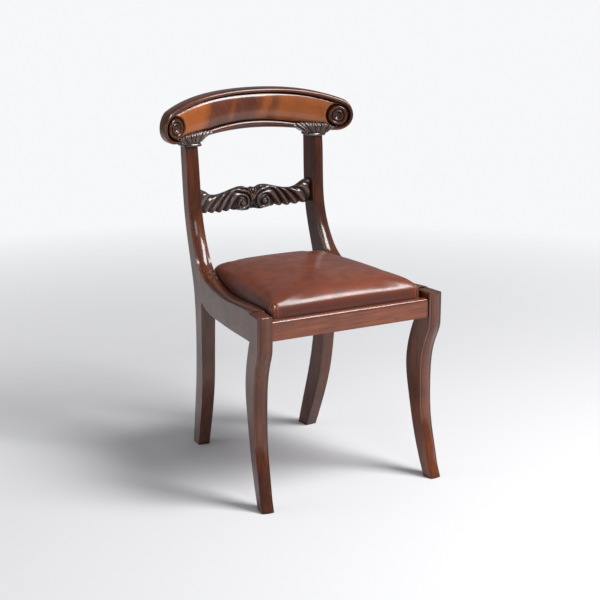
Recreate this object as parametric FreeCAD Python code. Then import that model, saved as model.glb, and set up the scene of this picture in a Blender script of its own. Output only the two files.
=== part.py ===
import FreeCAD, Part
import math
import os

Vector = FreeCAD.Vector

# Klismos dining chair with sabre legs, a scrolled crest rail, a carved middle rail and a loose
# leather seat. Millimetres. The chair faces -Y, +X is right as seen from the front, +Z is up.
# Each side frame is flat: front leg, side rail and rear leg lie in one splayed plane.
# Its own coordinates are s (back from the front leg's face), t (inwards from the outer face), z.

# Driving dimensions of the frame
seat_front_width = 470.0
side_splay = 7.2
rear_leg_lean = 1.5
stock = 35.0
rear_joint = 372.0
seat_height = 430.0
side_rail_depth = 63.0

# Front legs
block_depth = 49.0
block_rise = 11.0
block_height = 69.0
block_round = 5.0
front_leg_hollow = 28.0
front_leg_knee = 77.0
front_foot_reach = 18.0
front_foot_depth = 27.0
foot_width = 28.0

# Rear legs and stiles
stile_height = 303.0
stile_top_width = 30.0
stile_top_depth = 36.0
stile_rake = 84.0
rear_foot_reach = 77.0
rear_foot_depth = 33.0

# Moulding on the stiles, side rails and front legs
moulding_width = 22.0
moulding_rise = 3.0
moulding_edge = 0.8
moulding_root = 5.0

# Front and back seat rails
front_rail_height = 44.0
front_rail_drop = 2.0
front_rail_thickness = 26.0
front_rail_setback = 3.2
front_rail_round = 6.0
back_rail_height = 44.0
back_rail_thickness = 22.0
back_rail_place = 388.0
rail_lip = 14.0
back_rail_lip = 10.0
rebate_depth = 19.0

# Crest rail
crest_plan_radius = 560.0
crest_back_radius = 640.0
crest_front = 475.0
crest_thickness = 30.0
crest_height = 95.0
crest_half_length = 251.0
crest_end_radius = 37.0
crest_end_drop = 74.0
crest_fullness = 1.18
crest_lift = 27.0
crest_rim = 11.0
crest_lower_rim = 17.0
crest_end_rim = 8.0
panel_recess = 9.0
panel_inset = 1.5
roundel_radius = 24.0
roundel_offset = 5.0
roundel_boss = 13.5
roundel_rise = 3.0
roundel_bead = 4.0
roundel_dish = 6.0

# Brackets
bracket_overhang = 4.0
bracket_band = 7.0
bracket_apron = 8.0
bracket_apron_height = 35.0
bracket_inner_reach = 70.0
bracket_outer_reach = 40.0

# Middle rail
mid_rail_place = 461.0
mid_rail_plan_radius = 780.0
mid_rail_thickness = 19.0
mid_rail_base = 134.0
mid_rail_height = 57.0
volute_radius = 14.5
volute_place = 29.0
volute_drop = 22.0
volute_rise = 4.0

# Corner blocks, cleats and fasteners
corner_block_leg = 48.0
corner_block_height = 23.0
corner_block_drop = 1.2
cleat_width = 14.0
cleat_height = 15.0
dowel_radius = 5.0
thin_dowel_radius = 4.0
dowel_length = 50.0
dowel_spacing = 28.0
thin_dowel_length = 34.0
mid_rail_dowel_length = 30.0
crest_dowel_length = 72.0
seat_dowel_length = 40.0
glue_gap = 0.05
screw_radius = 2.1
screw_head_radius = 4.0
screw_head_height = 3.0
screw_length = 26.0
cleat_screws_per_side = 3

# Loose seat
soft_gap = 0.3
seat_side_gap = 1.5
leather = 1.8
seat_board = 16.0
seat_board_width = 45.0
cushion_edge_height = 38.0
cushion_crown = 57.0
cushion_corner = 16.0
cushion_shoulder = 34.0
cushion_side_drop = 16.0
cushion_end_drop = 13.0
cushion_bow = 12.0
cushion_fullness = 5.0
cushion_sections = 12
webbing_width = 50.0
webbing_thickness = 1.2
hessian_thickness = 1.0
tack_head_radius = 3.5
tack_head_height = 0.8
tack_shank_radius = 0.8
tack_length = 7.0
tack_line = 18.0
leather_turn_under = 25.0
tacks_per_side = 6

# Values worked out from the dimensions above
splay = math.radians(side_splay)
lean = math.radians(rear_leg_lean)
block_top = seat_height + block_rise
block_bottom = block_top - block_height
rail_bottom = seat_height - side_rail_depth
rail_toe = rail_bottom + 8.0
rail_heel = rail_bottom + 18.0
joint_rise = 22.0
stile_top = seat_height + stile_height
front_rail_top = seat_height - front_rail_drop
front_rail_face = -stock * math.sin(splay) + front_rail_setback
seat_bottom = front_rail_top - rebate_depth
rest_level = seat_bottom - soft_gap
seat_front = front_rail_face + rail_lip + seat_side_gap
seat_back = back_rail_place + back_rail_thickness - back_rail_lip - seat_side_gap
crest_bottom = stile_top + crest_lift
crest_top = crest_bottom + crest_height
crest_end_height = crest_top - crest_end_drop
crest_end_centre = crest_half_length - crest_end_radius
roundel_centre = crest_end_centre + roundel_offset
overshoot = 10.0
far = 2000.0


def inner_half_width(y, depth=stock):
    """Half the width between the two side frames at y, measured at depth t = depth."""
    return seat_front_width / 2 - y * math.tan(splay) - depth / math.cos(splay)


def side_point(s, t, z):
    """Chair coordinates of a point of the right side frame."""
    x = seat_front_width / 2 - s * math.sin(splay) - t * math.cos(splay)
    y = s * math.cos(splay) - t * math.sin(splay)
    return Vector(x, y, z)


def to_right_side(shape):
    """Carry a shape from the side frame's coordinates to the chair's right side."""
    placed = shape.copy()
    placed.rotate(Vector(0, 0, 0), Vector(0, 0, 1), 90 + side_splay)
    placed.translate(Vector(seat_front_width / 2, 0, 0))
    return placed


def leaned(shape):
    """Lean a rear leg outwards about its outer face at seat height."""
    turned = shape.copy()
    turned.rotate(Vector(0, 0, seat_height), Vector(1, 0, 0), rear_leg_lean)
    return turned


def mirrored(shape):
    """The left-hand copy of a right-hand shape."""
    return shape.mirror(Vector(0, 0, 0), Vector(1, 0, 0))


def spline(points, start=None, end=None):
    """A smooth curve through the points, with end directions where they matter."""
    curve = Part.BSplineCurve()
    if start is None:
        curve.interpolate(Points=points)
    else:
        curve.interpolate(Points=points, InitialTangent=start, FinalTangent=end)
    return curve


def polyline(points):
    """Straight edges through the points."""
    return [Part.LineSegment(a, b).toShape() for a, b in zip(points, points[1:])]


def face_of(edges):
    """The plane face inside a closed ring of edges."""
    return Part.Face(Part.Wire(Part.__sortEdges__(edges)))


def polygon_prism(points, direction):
    """A prism over a closed polygon."""
    return face_of(polyline(points + [points[0]])).extrude(direction)


def rod(start, direction, length, radius):
    """A round bar from start along direction."""
    return Part.makeCylinder(radius, length, start, direction)


def between_heights(low, high):
    """A slab of space between two heights, for trimming."""
    return Part.makeBox(far, far, high - low, Vector(-far / 2, -far / 2, low))


def largest(shape):
    """The biggest solid of a shape."""
    return max(shape.Solids, key=lambda solid: solid.Volume)


def moulding(path, curve, sign):
    """The raised band of the moulding, swept along path at the middle of the stock.

    The section has straight sides that run into the wood and an arc across its face. The sign
    tells on which side of the path the face lies.
    """
    first = curve.FirstParameter
    start = path.OrderedVertexes[0].Point
    tangent = curve.tangent(first)[0]
    out = Vector(-tangent.z, 0, tangent.x) * sign
    across = Vector(0, 1, 0)
    middle = start + across * (stock / 2)
    half = moulding_width / 2
    low_left = middle - across * half - out * moulding_root
    low_right = middle + across * half - out * moulding_root
    high_left = middle - across * half + out * moulding_edge
    high_right = middle + across * half + out * moulding_edge
    crown = middle + out * moulding_rise
    edges = polyline([high_left, low_left, low_right, high_right])
    edges.append(Part.Arc(high_right, crown, high_left).toShape())
    section = Part.Wire(Part.__sortEdges__(edges))
    path_middle = path.copy()
    path_middle.translate(across * (stock / 2))
    return path_middle.makePipeShell([section], True, False)


def side_line():
    """The line along the top of the side rail that sweeps up the front of the stile."""
    span = rear_joint - block_depth
    return spline([
        Vector(block_depth - overshoot, 0, seat_height + 10.5),
        Vector(block_depth + 0.45 * span, 0, seat_height),
        Vector(rear_joint - 42, 0, seat_height + 7),
        Vector(rear_joint, 0, seat_height + joint_rise),
        Vector(rear_joint + 0.46 * stile_rake, 0, seat_height + 0.22 * stile_height),
        Vector(rear_joint + 0.76 * stile_rake, 0, seat_height + 0.41 * stile_height),
        Vector(rear_joint + 0.90 * stile_rake, 0, seat_height + 0.69 * stile_height),
        Vector(rear_joint + stile_rake, 0, stile_top + overshoot)])


def front_leg():
    """Sabre front leg: a block at seat level over a leg that hollows, then kicks forward."""
    top = block_top + overshoot
    knee = front_leg_knee
    front = spline([
        Vector(0, 0, block_bottom),
        Vector(0.21 * front_leg_hollow, 0, 0.93 * block_bottom),
        Vector(0.64 * front_leg_hollow, 0, 0.85 * block_bottom),
        Vector(front_leg_hollow, 0, 0.60 * block_bottom),
        Vector(0.64 * front_leg_hollow, 0, 0.32 * block_bottom),
        Vector(-0.05 * front_foot_reach, 0, 0.13 * block_bottom),
        Vector(-front_foot_reach, 0, 0)], Vector(0, 0, -1), Vector(-0.45, 0, -1))
    back = spline([
        Vector(block_depth, 0, rail_toe),
        Vector(0.92 * knee, 0, 0.85 * rail_bottom),
        Vector(knee, 0, 0.74 * rail_bottom),
        Vector(0.88 * knee, 0, 0.53 * rail_bottom),
        Vector(0.55 * knee, 0, 0.24 * rail_bottom),
        Vector(front_foot_depth - front_foot_reach, 0, 0)])
    heel = Vector(front_foot_depth - front_foot_reach, 0, 0)
    toe = Vector(-front_foot_reach, 0, 0)
    rim = polyline([Vector(block_depth, 0, rail_toe), Vector(block_depth, 0, top),
                    Vector(0, 0, top), Vector(0, 0, block_bottom)])
    outline = rim + [front.toShape(), back.toShape()] + polyline([toe, heel])
    body = face_of(outline).extrude(Vector(0, stock, 0))
    drop = Part.LineSegment(Vector(0, 0, top), Vector(0, 0, block_bottom))
    band = moulding(Part.Wire([drop.toShape(), front.toShape()]), drop, -1)
    leg = body.fuse(band)
    return largest(leg.common(front_leg_sides()).common(block_top_shape()))


def front_leg_sides():
    """The front view of the leg: square at the block, tapered to the foot, rounded on top."""
    inset = (stock - foot_width) / 2
    top = block_top
    r = block_round
    bend = r * math.sqrt(0.5)
    edges = polyline([Vector(0, 0, top - r), Vector(0, 0, block_bottom), Vector(0, inset, 0),
                      Vector(0, stock - inset, 0), Vector(0, stock, block_bottom),
                      Vector(0, stock, top - r)])
    edges.append(Part.Arc(Vector(0, stock, top - r), Vector(0, stock - r + bend, top - r + bend),
                          Vector(0, stock - r, top)).toShape())
    edges += polyline([Vector(0, stock - r, top), Vector(0, r, top)])
    edges.append(Part.Arc(Vector(0, r, top), Vector(0, r - bend, top - r + bend),
                          Vector(0, 0, top - r)).toShape())
    solid = face_of(edges).extrude(Vector(2 * far, 0, 0))
    solid.translate(Vector(-far, 0, 0))
    return solid


def block_top_shape():
    """Space under the rounded front and back edges of the block's top."""
    front = -moulding_rise
    r = block_round
    bend = r * math.sqrt(0.5)
    top = block_top
    edges = polyline([Vector(front, 0, top - r), Vector(front, 0, block_bottom),
                      Vector(-far, 0, block_bottom), Vector(-far, 0, -far), Vector(far, 0, -far),
                      Vector(far, 0, top - 12), Vector(block_depth, 0, top - 12),
                      Vector(block_depth, 0, top - r)])
    edges.append(Part.Arc(Vector(block_depth, 0, top - r),
                          Vector(block_depth - r + bend, 0, top - r + bend),
                          Vector(block_depth - r, 0, top)).toShape())
    edges += polyline([Vector(block_depth - r, 0, top), Vector(front + r, 0, top)])
    edges.append(Part.Arc(Vector(front + r, 0, top), Vector(front + r - bend, 0, top - r + bend),
                          Vector(front, 0, top - r)).toShape())
    return face_of(edges).extrude(Vector(0, stock, 0))


def rear_leg():
    """Rear leg and stile in one piece: the sabre leg below, the raked stile above."""
    line = side_line()
    joint = Vector(rear_joint, 0, seat_height + joint_rise)
    top = stile_top + overshoot
    below = -overshoot
    upper = line.toShape(line.parameter(joint), line.LastParameter)
    back_top = Vector(rear_joint + stile_rake + stile_top_depth, 0, top)
    heel = Vector(rear_joint + rear_foot_reach + rear_foot_depth, 0, below)
    toe = Vector(rear_joint + rear_foot_reach, 0, below)
    back = spline([
        back_top,
        Vector(rear_joint + 112, 0, seat_height + 0.69 * stile_height),
        Vector(rear_joint + 102, 0, seat_height + 0.45 * stile_height),
        Vector(rear_joint + 72, 0, seat_height + 0.135 * stile_height),
        Vector(rear_joint + 51, 0, seat_height - 29),
        Vector(rear_joint + 47, 0, seat_height - 75),
        Vector(rear_joint + 51, 0, 0.75 * rail_bottom),
        Vector(rear_joint + 65, 0, 0.48 * rail_bottom),
        Vector(rear_joint + 91, 0, 0.19 * rail_bottom),
        heel])
    front = spline([
        Vector(rear_joint, 0, rail_heel),
        Vector(rear_joint + 6, 0, 0.90 * rail_bottom),
        Vector(rear_joint + 12.5, 0, 0.69 * rail_bottom),
        Vector(rear_joint + 22, 0, 0.45 * rail_bottom),
        Vector(rear_joint + 41, 0, 0.25 * rail_bottom),
        toe])
    rim = polyline([line.value(line.LastParameter), back_top])
    rim += polyline([heel, toe])
    rim += polyline([Vector(rear_joint, 0, rail_heel), joint])
    body = face_of(rim + [upper, back.toShape(), front.toShape()]).extrude(Vector(0, stock, 0))
    band = moulding(Part.Wire([line.toShape()]), line, 1)
    behind = Part.makeBox(far, far, far, Vector(rear_joint, -far / 2, -overshoot))
    leg = body.fuse(band.common(behind)).common(rear_leg_sides())
    return largest(leaned(leg).common(between_heights(0, stile_top)))


def rear_leg_sides():
    """The front view of the rear leg: widest at the seat, tapered to the foot and the top."""
    foot = (stock - foot_width) / 2
    head = (stock - stile_top_width) / 2
    shoulder = seat_height + joint_rise
    top = stile_top + overshoot
    edge = [Vector(0, foot, -overshoot), Vector(0, 0, rail_bottom), Vector(0, 0, shoulder),
            Vector(0, head, top)]
    other = [Vector(0, stock - p.y, p.z) for p in reversed(edge)]
    return polygon_prism(edge + other, Vector(far, 0, 0))


def side_rail():
    """Side seat rail, with the moulding along its top."""
    line = side_line()
    start = Vector(block_depth, 0, rail_toe)
    end = Vector(rear_joint, 0, rail_heel)
    joint = Vector(rear_joint, 0, seat_height + joint_rise)
    under = spline([start, Vector(150, 0, rail_bottom + 3), Vector(265, 0, rail_bottom),
                    Vector(rear_joint - 36, 0, rail_bottom + 5), end])
    first = line.FirstParameter
    upper = line.toShape(first, line.parameter(joint))
    lead = Vector(line.value(first).x, 0, rail_toe)
    rim = polyline([line.value(first), lead, start]) + polyline([end, joint])
    body = face_of(rim + [upper, under.toShape()]).extrude(Vector(0, stock, 0))
    band = moulding(Part.Wire([line.toShape()]), line, 1)
    span = Part.makeBox(rear_joint - block_depth, stock, far, Vector(block_depth, 0, 0))
    return largest(body.fuse(band).common(span))


def rail_section(face_y, back_y, lip, bottom, top, rounding):
    """Edges of a seat rail's section in the YZ plane: a lip at the face and a rebate behind."""
    step = back_y - face_y
    direction = step / abs(step)
    lip_y = face_y + direction * lip
    shelf = seat_bottom
    bend = rounding * (1 - math.sqrt(0.5))
    edges = polyline([Vector(0, face_y, top - rounding), Vector(0, face_y, bottom),
                      Vector(0, back_y, bottom), Vector(0, back_y, shelf - soft_gap),
                      Vector(0, lip_y, shelf - soft_gap), Vector(0, lip_y, top),
                      Vector(0, face_y + direction * rounding, top)])
    edges.append(Part.Arc(Vector(0, face_y + direction * rounding, top),
                          Vector(0, face_y + direction * bend, top - bend),
                          Vector(0, face_y, top - rounding)).toShape())
    return edges


def cross_rail(edges, sides):
    """A rail across the chair, extruded overlong and cut to fit between the side pieces."""
    rail = face_of(edges).extrude(Vector(seat_front_width, 0, 0))
    rail.translate(Vector(-seat_front_width / 2, 0, 0))
    for side in sides:
        rail = rail.cut(side)
    middle = [solid for solid in rail.Solids if abs(solid.CenterOfMass.x) < stock]
    return max(middle, key=lambda solid: solid.Volume)


def between_sides(front_y, back_y, low, high, depth):
    """A slab between the side frames, its sides parallel to them at t = depth."""
    a = inner_half_width(front_y, depth)
    b = inner_half_width(back_y, depth)
    return polygon_prism([Vector(-a, front_y, low), Vector(a, front_y, low),
                          Vector(b, back_y, low), Vector(-b, back_y, low)],
                         Vector(0, 0, high - low))


def mirrored_points(points):
    """Points of the right half, and their mirror images, from left to right."""
    left = [Vector(-p.x, p.y, p.z) for p in reversed(points)]
    if points[0].x == 0:
        left = left[:-1]
    return left + points


def crest_outline(top_inset, bottom_inset, end_inset, fullness):
    """Edges of the crest's front view, drawn in by the insets, its shoulders more or less full."""
    radius = crest_end_radius - end_inset
    cx = crest_end_centre
    cz = crest_end_height
    top = crest_top - top_inset
    bottom = crest_bottom + bottom_inset
    rise_angle = math.radians(60)
    fall_angle = math.radians(-96)
    shoulder = Vector(cx + radius * math.cos(rise_angle), 0,
                      cz + fullness * radius * math.sin(rise_angle))
    chin = Vector(cx + radius * math.cos(fall_angle), 0, cz + radius * math.sin(fall_angle))
    edge_point = Vector(cx + radius, 0, cz)
    high_bend = Vector(cx + radius * math.cos(rise_angle / 2), 0,
                       cz + fullness * radius * math.sin(rise_angle / 2))
    low_bend = Vector(cx + radius * math.cos(fall_angle / 2), 0,
                      cz + radius * math.sin(fall_angle / 2))
    down = Vector(math.sin(rise_angle), 0, -fullness * math.cos(rise_angle))
    back = Vector(-math.sin(fall_angle), 0, math.cos(fall_angle))
    sag = top - shoulder.z
    upper = mirrored_points([
        Vector(0, 0, top),
        Vector(0.42 * shoulder.x, 0, top - 0.12 * sag),
        Vector(0.76 * shoulder.x, 0, top - 0.47 * sag),
        shoulder])
    drop = bottom - chin.z
    lower = mirrored_points([
        Vector(0, 0, bottom),
        Vector(0.45 * chin.x, 0, bottom - 0.32 * drop),
        Vector(0.80 * chin.x, 0, bottom - 0.86 * drop),
        chin])
    edges = [spline(upper, Vector(down.x, 0, -down.z), down).toShape()]
    edges.append(spline(lower, Vector(-back.x, 0, back.z), Vector(-back.x, 0, -back.z)).toShape())
    for ends in ((shoulder, high_bend, edge_point), (edge_point, low_bend, chin)):
        edges.append(Part.Arc(*ends).toShape())
        edges.append(Part.Arc(*[Vector(-p.x, 0, p.z) for p in ends]).toShape())
    return edges


def crest_field():
    """Front view of the sunk field and of the panel in it."""
    return front_view_prism(crest_outline(crest_rim, crest_lower_rim, crest_end_rim, 1.0))


def front_view_prism(edges):
    """A front-view outline extruded through the whole depth of the chair."""
    solid = face_of(edges).extrude(Vector(0, far, 0))
    solid.translate(Vector(0, -far / 4, 0))
    return solid


def curved_slab(front_y, radius, thickness, low, high, back_radius=None):
    """A slab that is an arc in plan, hollow to the front, with its front face at front_y.

    Its back is concentric with its front, unless it has a radius of its own.
    """
    outside = radius + thickness if back_radius is None else back_radius
    behind = Vector(0, front_y + thickness - outside, low)
    outer = Part.makeCylinder(outside, high - low, behind)
    inner = Part.makeCylinder(radius, high - low, Vector(0, front_y - radius, low))
    keep = Part.makeBox(far, far, high - low, Vector(-far / 2, front_y - radius / 2, low))
    return outer.cut(inner).common(keep)


def crest_rail():
    """Curved crest rail with round ends and a sunk field in its front."""
    low = crest_bottom - 2 * crest_end_radius
    slab = curved_slab(crest_front, crest_plan_radius, crest_thickness, low,
                       crest_top + overshoot, crest_back_radius)
    rail = slab.common(front_view_prism(crest_outline(0, 0, 0, crest_fullness)))
    sunk = curved_slab(crest_front - overshoot, crest_plan_radius - overshoot,
                       overshoot + panel_recess, low, crest_top + overshoot)
    return largest(rail.cut(sunk.common(crest_field())))


def roundel_axis():
    """Centre of the right roundel's seat on the sunk field, and its outward direction."""
    radius = crest_plan_radius + panel_recess
    angle = math.asin(roundel_centre / radius)
    centre = Vector(roundel_centre, crest_front - crest_plan_radius + radius * math.cos(angle),
                    crest_end_height)
    return centre, Vector(-math.sin(angle), -math.cos(angle), 0)


def crest_panel():
    """Figured panel that fills the sunk field, with holes for the two roundels."""
    low = crest_bottom - 2 * crest_end_radius
    slab = curved_slab(crest_front + panel_inset, crest_plan_radius + panel_inset,
                       panel_recess - panel_inset, low, crest_top)
    centre, outward = roundel_axis()
    hole = rod(centre - outward * 3 * overshoot, outward, 6 * overshoot,
               roundel_radius + glue_gap)
    return largest(slab.common(crest_field()).cut(hole).cut(mirrored(hole)))


def crest_roundel():
    """Turned roundel: a rounded outer ring, a groove, and a dished boss with a rounded rim."""
    top = panel_recess + roundel_rise
    ring = roundel_radius
    boss = roundel_boss
    groove = top - roundel_bead
    inner = boss + 1.5
    lip = boss - 5.0
    lip_top = top - 2.5
    profile = polyline([Vector(0, 0, 0), Vector(ring, 0, 0), Vector(ring, 0, groove)])
    profile.append(Part.Arc(Vector(ring, 0, groove), Vector((ring + inner) / 2, 0, top),
                            Vector(inner, 0, groove)).toShape())
    profile += polyline([Vector(inner, 0, groove), Vector(boss, 0, groove)])
    profile.append(Part.Arc(Vector(boss, 0, groove), Vector((boss + lip) / 2, 0, top - 0.5),
                            Vector(lip, 0, lip_top)).toShape())
    floor = top - roundel_dish
    flat = lip / 5
    profile.append(Part.Arc(Vector(lip, 0, lip_top),
                            Vector((lip + flat) / 2, 0, 0.7 * floor + 0.3 * lip_top),
                            Vector(flat, 0, floor)).toShape())
    profile += polyline([Vector(flat, 0, floor), Vector(0, 0, floor), Vector(0, 0, 0)])
    turned = face_of(profile).revolve(Vector(0, 0, 0), Vector(0, 0, 1), 360)
    centre, outward = roundel_axis()
    hollow = ring * ring / (2 * (crest_plan_radius + panel_recess)) + glue_gap
    turned.Placement = FreeCAD.Placement(centre + outward * hollow,
                                         FreeCAD.Rotation(Vector(0, 0, 1), outward))
    return turned


def stile_head():
    """Place (s, t) of the middle of the right stile's top, after its lean."""
    s = rear_joint + stile_rake + stile_top_depth / 2 - 1.0
    return s, stock / 2 - stile_height * math.tan(lean)


def bracket():
    """Carved capital under the crest: it caps the stile and spreads along the crest's edge."""
    s, t = stile_head()
    half = stile_top_width / 2 + bracket_overhang
    band = stile_top + bracket_band
    inner_tip = Vector(0, t + bracket_inner_reach, stile_top + bracket_apron_height - 2)
    outer_tip = Vector(0, t - bracket_outer_reach, stile_top + 0.6 * bracket_apron_height)
    inner = spline([Vector(0, t + half, band), Vector(0, t + half + 15, band + 9), inner_tip])
    outer = spline([outer_tip, Vector(0, t - half - 9, band + 4), Vector(0, t - half, band)])
    edges = polyline([Vector(0, t - half, band), Vector(0, t - half, stile_top),
                      Vector(0, t + half, stile_top), Vector(0, t + half, band)])
    edges += [inner.toShape(), outer.toShape()] + polyline([inner_tip, outer_tip])
    depth = stile_top_depth + bracket_overhang
    cap = Part.makeBox(depth, 2 * half, bracket_band,
                       Vector(s - stile_top_depth / 2 - bracket_overhang, t - half, stile_top))
    spread = face_of(edges).extrude(Vector(3 * depth, 0, 0))
    spread.translate(Vector(s - 2 * depth, 0, 0))
    apron = curved_slab(crest_front - bracket_apron, crest_plan_radius - bracket_apron,
                        bracket_apron + crest_thickness, stile_top,
                        stile_top + bracket_apron_height)
    return to_right_side(cap).fuse(apron.common(to_right_side(spread)))


def mid_rail_outline():
    """Front view of the carved middle rail: two facing volutes, a dip and flared ends."""
    base = seat_height + mid_rail_base
    top = base + mid_rail_height
    end = inner_half_width(mid_rail_place, 0)
    upper = mirrored_points([
        Vector(0, 0, top + 0.5), Vector(0.20 * end, 0, top + 1), Vector(0.37 * end, 0, top - 3),
        Vector(0.62 * end, 0, top - 11), Vector(0.70 * end, 0, top - 11.5),
        Vector(0.80 * end, 0, top - 4), Vector(end, 0, top + 10)])
    lower = mirrored_points([
        Vector(0, 0, base + 2.5), Vector(0.16 * end, 0, base), Vector(0.30 * end, 0, base + 4),
        Vector(0.60 * end, 0, base + 2.5), Vector(end, 0, base + 9)])
    ends = polyline([upper[0], lower[0]]) + polyline([upper[-1], lower[-1]])
    return [spline(upper).toShape(), spline(lower).toShape()] + ends


def mid_rail(sides):
    """Carved middle rail between the stiles, hollow to the front like the crest."""
    base = seat_height + mid_rail_base
    slab = curved_slab(mid_rail_place, mid_rail_plan_radius, mid_rail_thickness,
                       base - overshoot, base + mid_rail_height + 2 * overshoot)
    rail = slab.common(front_view_prism(mid_rail_outline()))
    middle = base + mid_rail_height - volute_radius - volute_drop
    for side in (-1, 1):
        start = Vector(side * volute_place, mid_rail_place - volute_rise, middle)
        rail = rail.fuse(rod(start, Vector(0, 1, 0), mid_rail_thickness, volute_radius))
    for side in sides:
        rail = rail.cut(side)
    return largest(rail)


def corner_triangle(face_y, sign):
    """Corner of a glue block's plan: right corner at face_y, running back (1) or forward (-1)."""
    leg = corner_block_leg
    corner = Vector(inner_half_width(face_y), face_y, 0)
    along_rail = corner - Vector(leg, 0, 0)
    along_side = Vector(inner_half_width(face_y + sign * leg), face_y + sign * leg, 0)
    return corner, along_rail, along_side


def corner_block(face_y, sign):
    """Three-sided glue block in a corner of the seat frame, just below the loose seat."""
    low = rest_level - corner_block_drop - corner_block_height
    points = [Vector(p.x, p.y, low) for p in corner_triangle(face_y, sign)]
    return polygon_prism(points, Vector(0, 0, corner_block_height))


def screw(start, direction):
    """Wood screw: a plain shank under a cheese head, head at the start."""
    unit = Vector(direction).normalize()
    head = rod(start, unit, screw_head_height, screw_head_radius)
    return head.fuse(rod(start, unit, screw_length, screw_radius)).removeSplitter()


def screw_hole(start, direction):
    """Hole for a screw, open behind its head."""
    unit = Vector(direction).normalize()
    mouth = rod(start - unit * 3 * overshoot, unit, screw_head_height + 3 * overshoot,
                screw_head_radius + glue_gap)
    return mouth.fuse(rod(start, unit, screw_length + 1, screw_radius + glue_gap))


def corner_screw_lines(face_y, sign):
    """Start and direction of a block's two screws: into the side rail and the cross rail."""
    low = rest_level - corner_block_drop - corner_block_height
    corner, along_rail, along_side = corner_triangle(face_y, sign)
    side_share = 0.62
    rail_share = 0.50
    sunk = 6.0
    into_side = Vector(math.cos(splay), math.sin(splay), 0)
    into_rail = Vector(0, -sign, 0)
    first = corner + (along_side - corner) * side_share
    first -= into_side * (corner_block_leg * (1 - side_share) - sunk)
    second = corner + (along_rail - corner) * rail_share
    second -= into_rail * (corner_block_leg * (1 - rail_share) - sunk)
    return [(Vector(first.x, first.y, low + 0.85 * corner_block_height), into_side),
            (Vector(second.x, second.y, low + 0.35 * corner_block_height), into_rail)]


def side_cleat(front_y, back_y):
    """Ledge along the inside of the right side rail."""
    low = rest_level - cleat_height
    a = inner_half_width(front_y)
    b = inner_half_width(back_y)
    wide = cleat_width / math.cos(splay)
    return polygon_prism([Vector(a, front_y, low), Vector(b, back_y, low),
                          Vector(b - wide, back_y, low), Vector(a - wide, front_y, low)],
                         Vector(0, 0, cleat_height))


def cleat_screw_lines(front_y, back_y):
    """Start and direction of the screws that hold the right cleat to its side rail."""
    into_side = Vector(math.cos(splay), math.sin(splay), 0)
    lines = []
    for index in range(cleat_screws_per_side):
        y = front_y + (index + 0.5) / cleat_screws_per_side * (back_y - front_y)
        wall = Vector(inner_half_width(y), y, rest_level - cleat_height / 2)
        lines.append((wall - into_side * cleat_width, into_side))
    return lines


def cushion_section(y, half, low, edge, crown):
    """Section of the seat at y: flat floor, straight sides, round shoulders and a low crown."""
    shoulder = min(cushion_shoulder, 0.3 * half)
    side_top = edge - cushion_side_drop
    left = Vector(-half, y, low)
    right = Vector(half, y, low)
    up_right = Vector(half, y, side_top)
    bow_right = Vector(half - 0.22 * shoulder, y, side_top + 0.72 * cushion_side_drop)
    in_right = Vector(half - shoulder, y, edge + 0.30 * (crown - edge))
    up_left = Vector(-up_right.x, y, up_right.z)
    bow_left = Vector(-bow_right.x, y, bow_right.z)
    in_left = Vector(-in_right.x, y, in_right.z)
    edges = polyline([up_left, left, right, up_right])
    edges.append(Part.Arc(up_right, bow_right, in_right).toShape())
    edges.append(Part.Arc(in_right, Vector(0, y, crown), in_left).toShape())
    edges.append(Part.Arc(in_left, bow_left, up_left).toShape())
    return Part.Wire(edges)


def cushion_form(inset, low):
    """The stuffed seat's form, drawn in by inset on the front, back, sides and top.

    Sections stand at cosine steps from front to back. The top falls towards both ends along
    a high-powered ellipse, and the plan's corners are quarter circles.
    """
    front = seat_front + inset
    back = seat_back - inset
    length = back - front
    gap = stock + seat_side_gap + inset
    edge = front_rail_top + cushion_edge_height - inset
    crown = front_rail_top + cushion_crown - inset
    wires = []
    for step in range(cushion_sections + 1):
        share = (1 - math.cos(math.pi * step / cushion_sections)) / 2
        y = front + share * length
        fall = 1 - (1 - abs(2 * share - 1) ** cushion_fullness) ** (1 / cushion_fullness)
        into = min(min(share, 1 - share) * length / cushion_corner, 1)
        half = inner_half_width(y, gap) - cushion_corner * (1 - math.sqrt(1 - (1 - into) ** 2))
        wires.append(cushion_section(y, half, low, edge - fall * cushion_end_drop,
                                     crown - fall * cushion_end_drop - fall * cushion_bow))
    return Part.makeLoft(wires, True, False)


def seat_floor_plan(inset, low, high):
    """A slab of the seat's plan, drawn in by inset from the leather's outside."""
    return between_sides(seat_front + inset, seat_back - inset, low, high,
                         stock + seat_side_gap + inset)


def seat_cover():
    """Leather cover: over the top, down the sides and turned under the seat frame."""
    outer = cushion_form(0, seat_bottom)
    inner = cushion_form(leather, seat_bottom + leather)
    mouth = seat_floor_plan(leather_turn_under, seat_bottom - 1, seat_bottom + 2 * leather)
    return outer.cut(inner).cut(mouth)


def seat_boards():
    """The four boards of the loose seat's frame, all inside the leather."""
    low = seat_bottom + leather + soft_gap
    front = seat_front + leather + soft_gap
    back = seat_back - leather - soft_gap
    gap = stock + seat_side_gap + leather + soft_gap
    width = seat_board_width
    high = low + seat_board
    room = cushion_form(leather + soft_gap, low)
    front_board = between_sides(front, front + width, low, high, gap).common(room)
    back_board = between_sides(back - width, back, low, high, gap).common(room)
    whole = between_sides(front + width, back - width, low, high, gap).common(room)
    hole = between_sides(front + width, back - width, low, high, gap + width)
    sides = whole.cut(hole).Solids
    left_board = min(sides, key=lambda solid: solid.CenterOfMass.x)
    right_board = max(sides, key=lambda solid: solid.CenterOfMass.x)
    return largest(front_board), largest(back_board), left_board, right_board


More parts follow.
